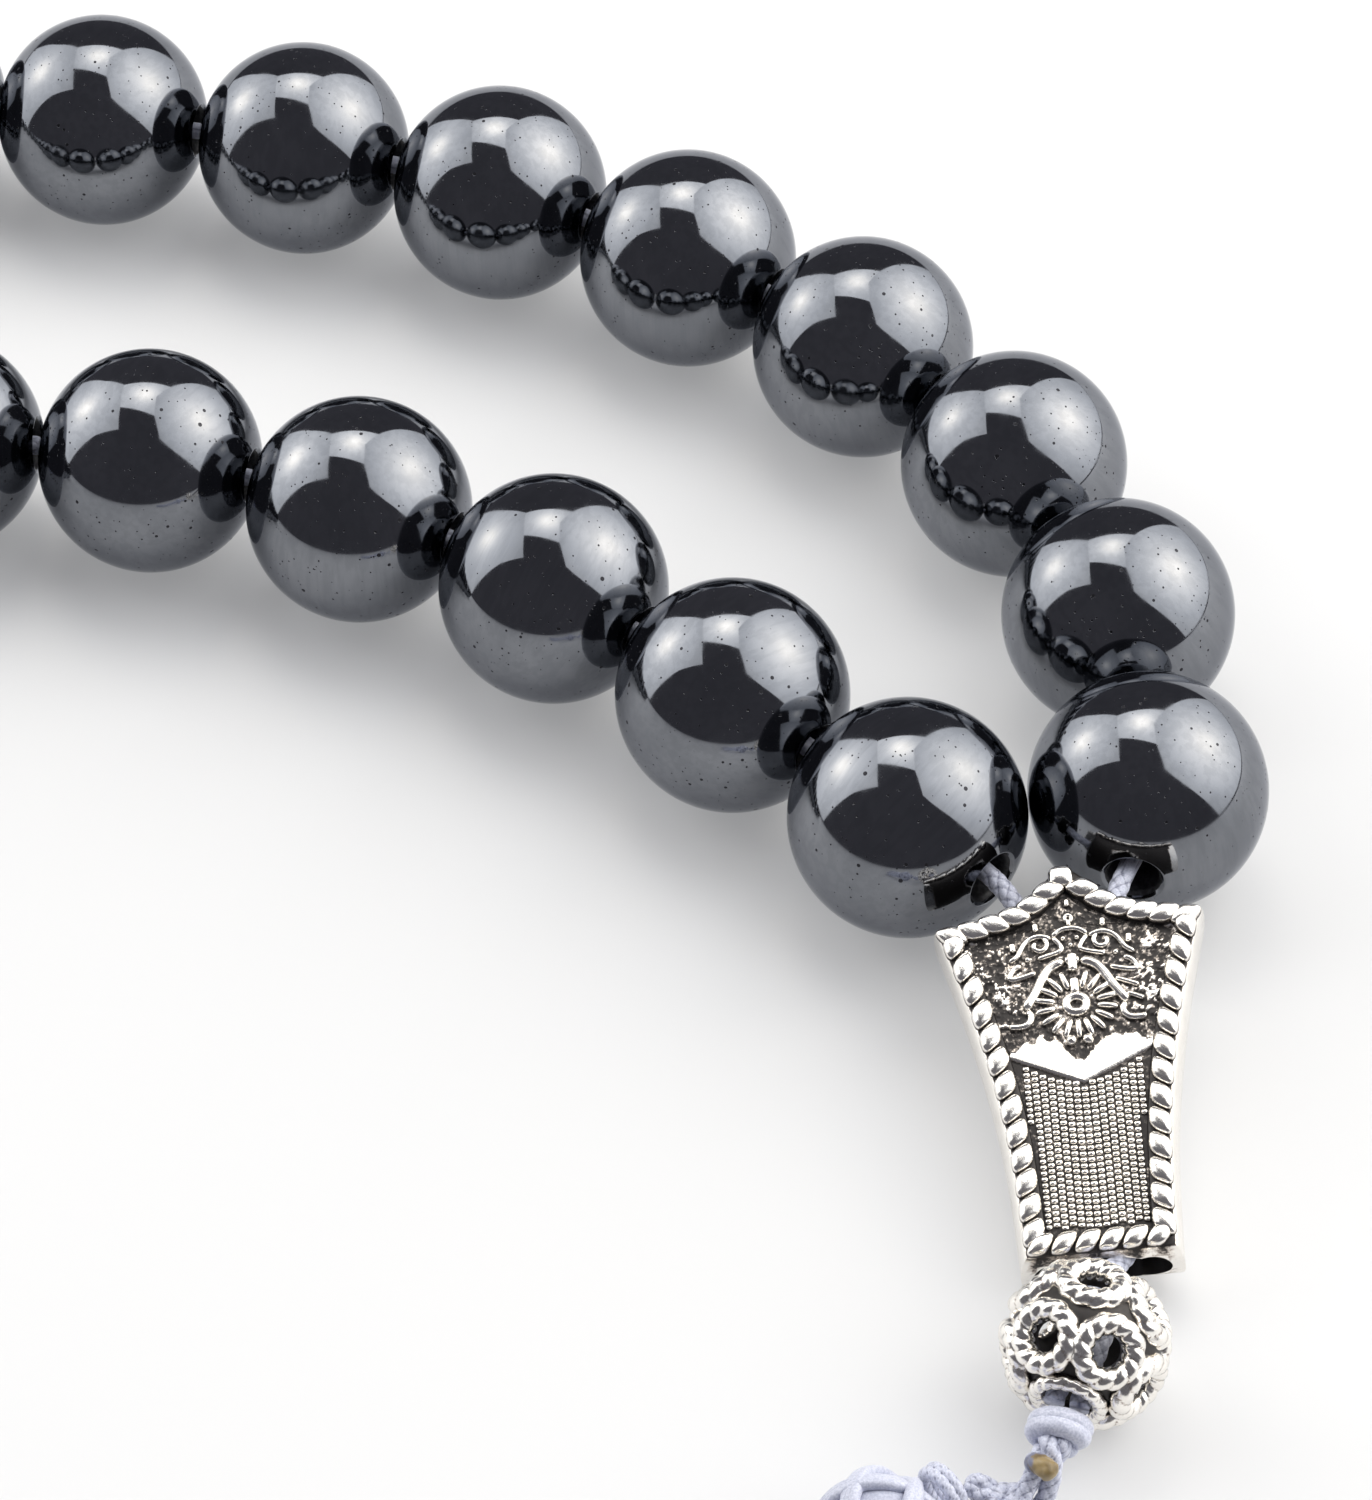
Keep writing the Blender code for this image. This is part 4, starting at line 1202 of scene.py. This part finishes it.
def add_head(thread):
    """A globe knot: three parallel strands that weave over and under each other round a ball."""
    matrix = head_matrix()
    shape = Shape()
    round_head = HEAD_LEADS * turns(900)
    phase = HEAD_BIGHTS * round_head / HEAD_LEADS
    slope = np.cos(phase)
    reach = HEAD_RADIUS - 0.42 * MM + 0.14 * MM * np.sin(2 * phase + 0.6)
    for shift in (-HEAD_STRAND_STEP, 0, HEAD_STRAND_STEP):
        lat = radians(66) * np.sin(phase)
        lon = round_head + shift * slope / np.maximum(np.cos(lat), 0.35)
        lat = lat + shift * (1 - 0.6 * np.abs(slope))
        path = ring_points(lon, np.cos(lat), np.cos(lat), np.sin(lat)) * reach[:, None]
        swept(shape, moved(matrix, path), HEAD_STRAND_RADIUS, 10, np.array(matrix)[:3, 2] + 0.01, True, 0.40)
    rows, columns = 17, 32
    core = Shape()
    turned(core, arc((0, 0), HEAD_CORE_RADIUS, -88, 88, rows), columns, closed=False)
    points = with_middles(moved(matrix, core.points[0]), columns)
    # painted shade: the ball under the strands is darkened more than the strands, where it shows between
    # them
    shape.add(points, core.faces + end_fans(rows, columns), 0.50)
    add_thread_piece("globe_knot", shape.mesh("globe_knot"), thread, "tassel", "tassel_head")


def add_wraps(thread):
    """The collar above the head and the binding below it, each of close turns of thread."""
    matrix = head_matrix()
    along = np.array(matrix)[:3, 2]
    collar = Shape()
    for height in COLLAR_HEIGHTS:
        ring = ring_points(turns(72), COLLAR_RADIUS, COLLAR_RADIUS, height)
        braided(collar, moved(matrix, ring), COLLAR_STRAND_RADIUS, 16, along, closed=True)
    add_thread_piece("tassel_collar_ring", collar.mesh("collar"), thread, "tassel", "tassel_collar")
    binding = Shape()
    turn = np.linspace(0, 2 * pi * BINDING_TURNS, BINDING_TURNS * 40)
    rise = BINDING_START + BINDING_LENGTH * turn / turn[-1]
    coil = moved(matrix, ring_points(turn, BINDING_RADIUS, BINDING_RADIUS, rise))
    swept(binding, coil, BINDING_THREAD_RADIUS * rounded_ends(len(coil), 0.01), 10, along)
    swept(binding, moved(matrix, ring_points(turn, 0.0, 0.0, rise)[::20]), BINDING_CORE_RADIUS, 28)
    add_thread_piece("tassel_neck_binding", binding.mesh("binding"), thread, "tassel", "tassel_binding")


def add_skirt(thread):
    """The skirt: fine threads from the neck that spread, lie down on the table and end unevenly."""
    matrix = head_matrix()
    start = moved(matrix, [(0.0, 0.0, SKIRT_AHEAD)])[0]
    route = np.concatenate([[start[:2]], np.array(SKIRT_ROUTE) + LAYOUT_ORIGIN[:2]])
    steps = 64
    middle = spline_through(route, steps)
    share = np.linspace(0, 1, steps)
    across = unit(np.gradient(middle, axis=0))[:, ::-1] * (-1, 1)
    half_width = np.interp(share**0.7, (0, 1), (NECK_RADIUS, SKIRT_HALF_WIDTH))
    half_height = np.interp(share, (0, 1), (NECK_RADIUS, SKIRT_HALF_HEIGHT))
    lowering = np.minimum(1.0, 3.0 * share)
    centre = (1 - lowering) * start[2] + lowering * half_height
    draw = np.random.default_rng(7)
    shape = Shape()
    for i in range(SKIRT_THREADS):
        reach = np.sqrt((i + 0.5) / SKIRT_THREADS)
        turn = i * pi * (3 - np.sqrt(5))
        a, b = 0.93 * reach * cos(turn), 0.90 * reach * sin(turn)
        wander = np.cumsum(draw.normal(0, 1, (2, steps)), axis=1)
        wander = wander / np.sqrt(steps) * 0.22 * share * MM
        wave = 0.10 * MM * np.sin(2 * pi * (share * draw.uniform(2.5, 4.5) + draw.random())) * share
        side = a * half_width + wander[0] + wave
        height = centre + b * (half_height - SKIRT_THREAD_RADIUS) + wander[1]
        last = steps - draw.integers(0, 5)
        path = np.column_stack([middle + across * side[:, None], np.maximum(height, SKIRT_THREAD_RADIUS)])
        swept(shape, path[:last], SKIRT_THREAD_RADIUS * rounded_ends(last, 0.02), 6)
    add_thread_piece("tassel_threads", shape.mesh("tassel_threads"), thread, "tassel", "tassel_skirt")


# ---- whole scene


def main():
    bpy.context.scene.view_settings.view_transform = "Standard"
    add_camera()
    add_world()
    add_light_tent()
    add_table()
    silver = silver_material()
    thread = thread_material()
    places = bead_places()
    add_threaded(places, silver)
    add_imam(silver)
    add_ball(silver)
    add_cord(thread, places)
    add_knot(thread)
    add_drop(thread)
    add_head(thread)
    add_wraps(thread)
    add_skirt(thread)


main()
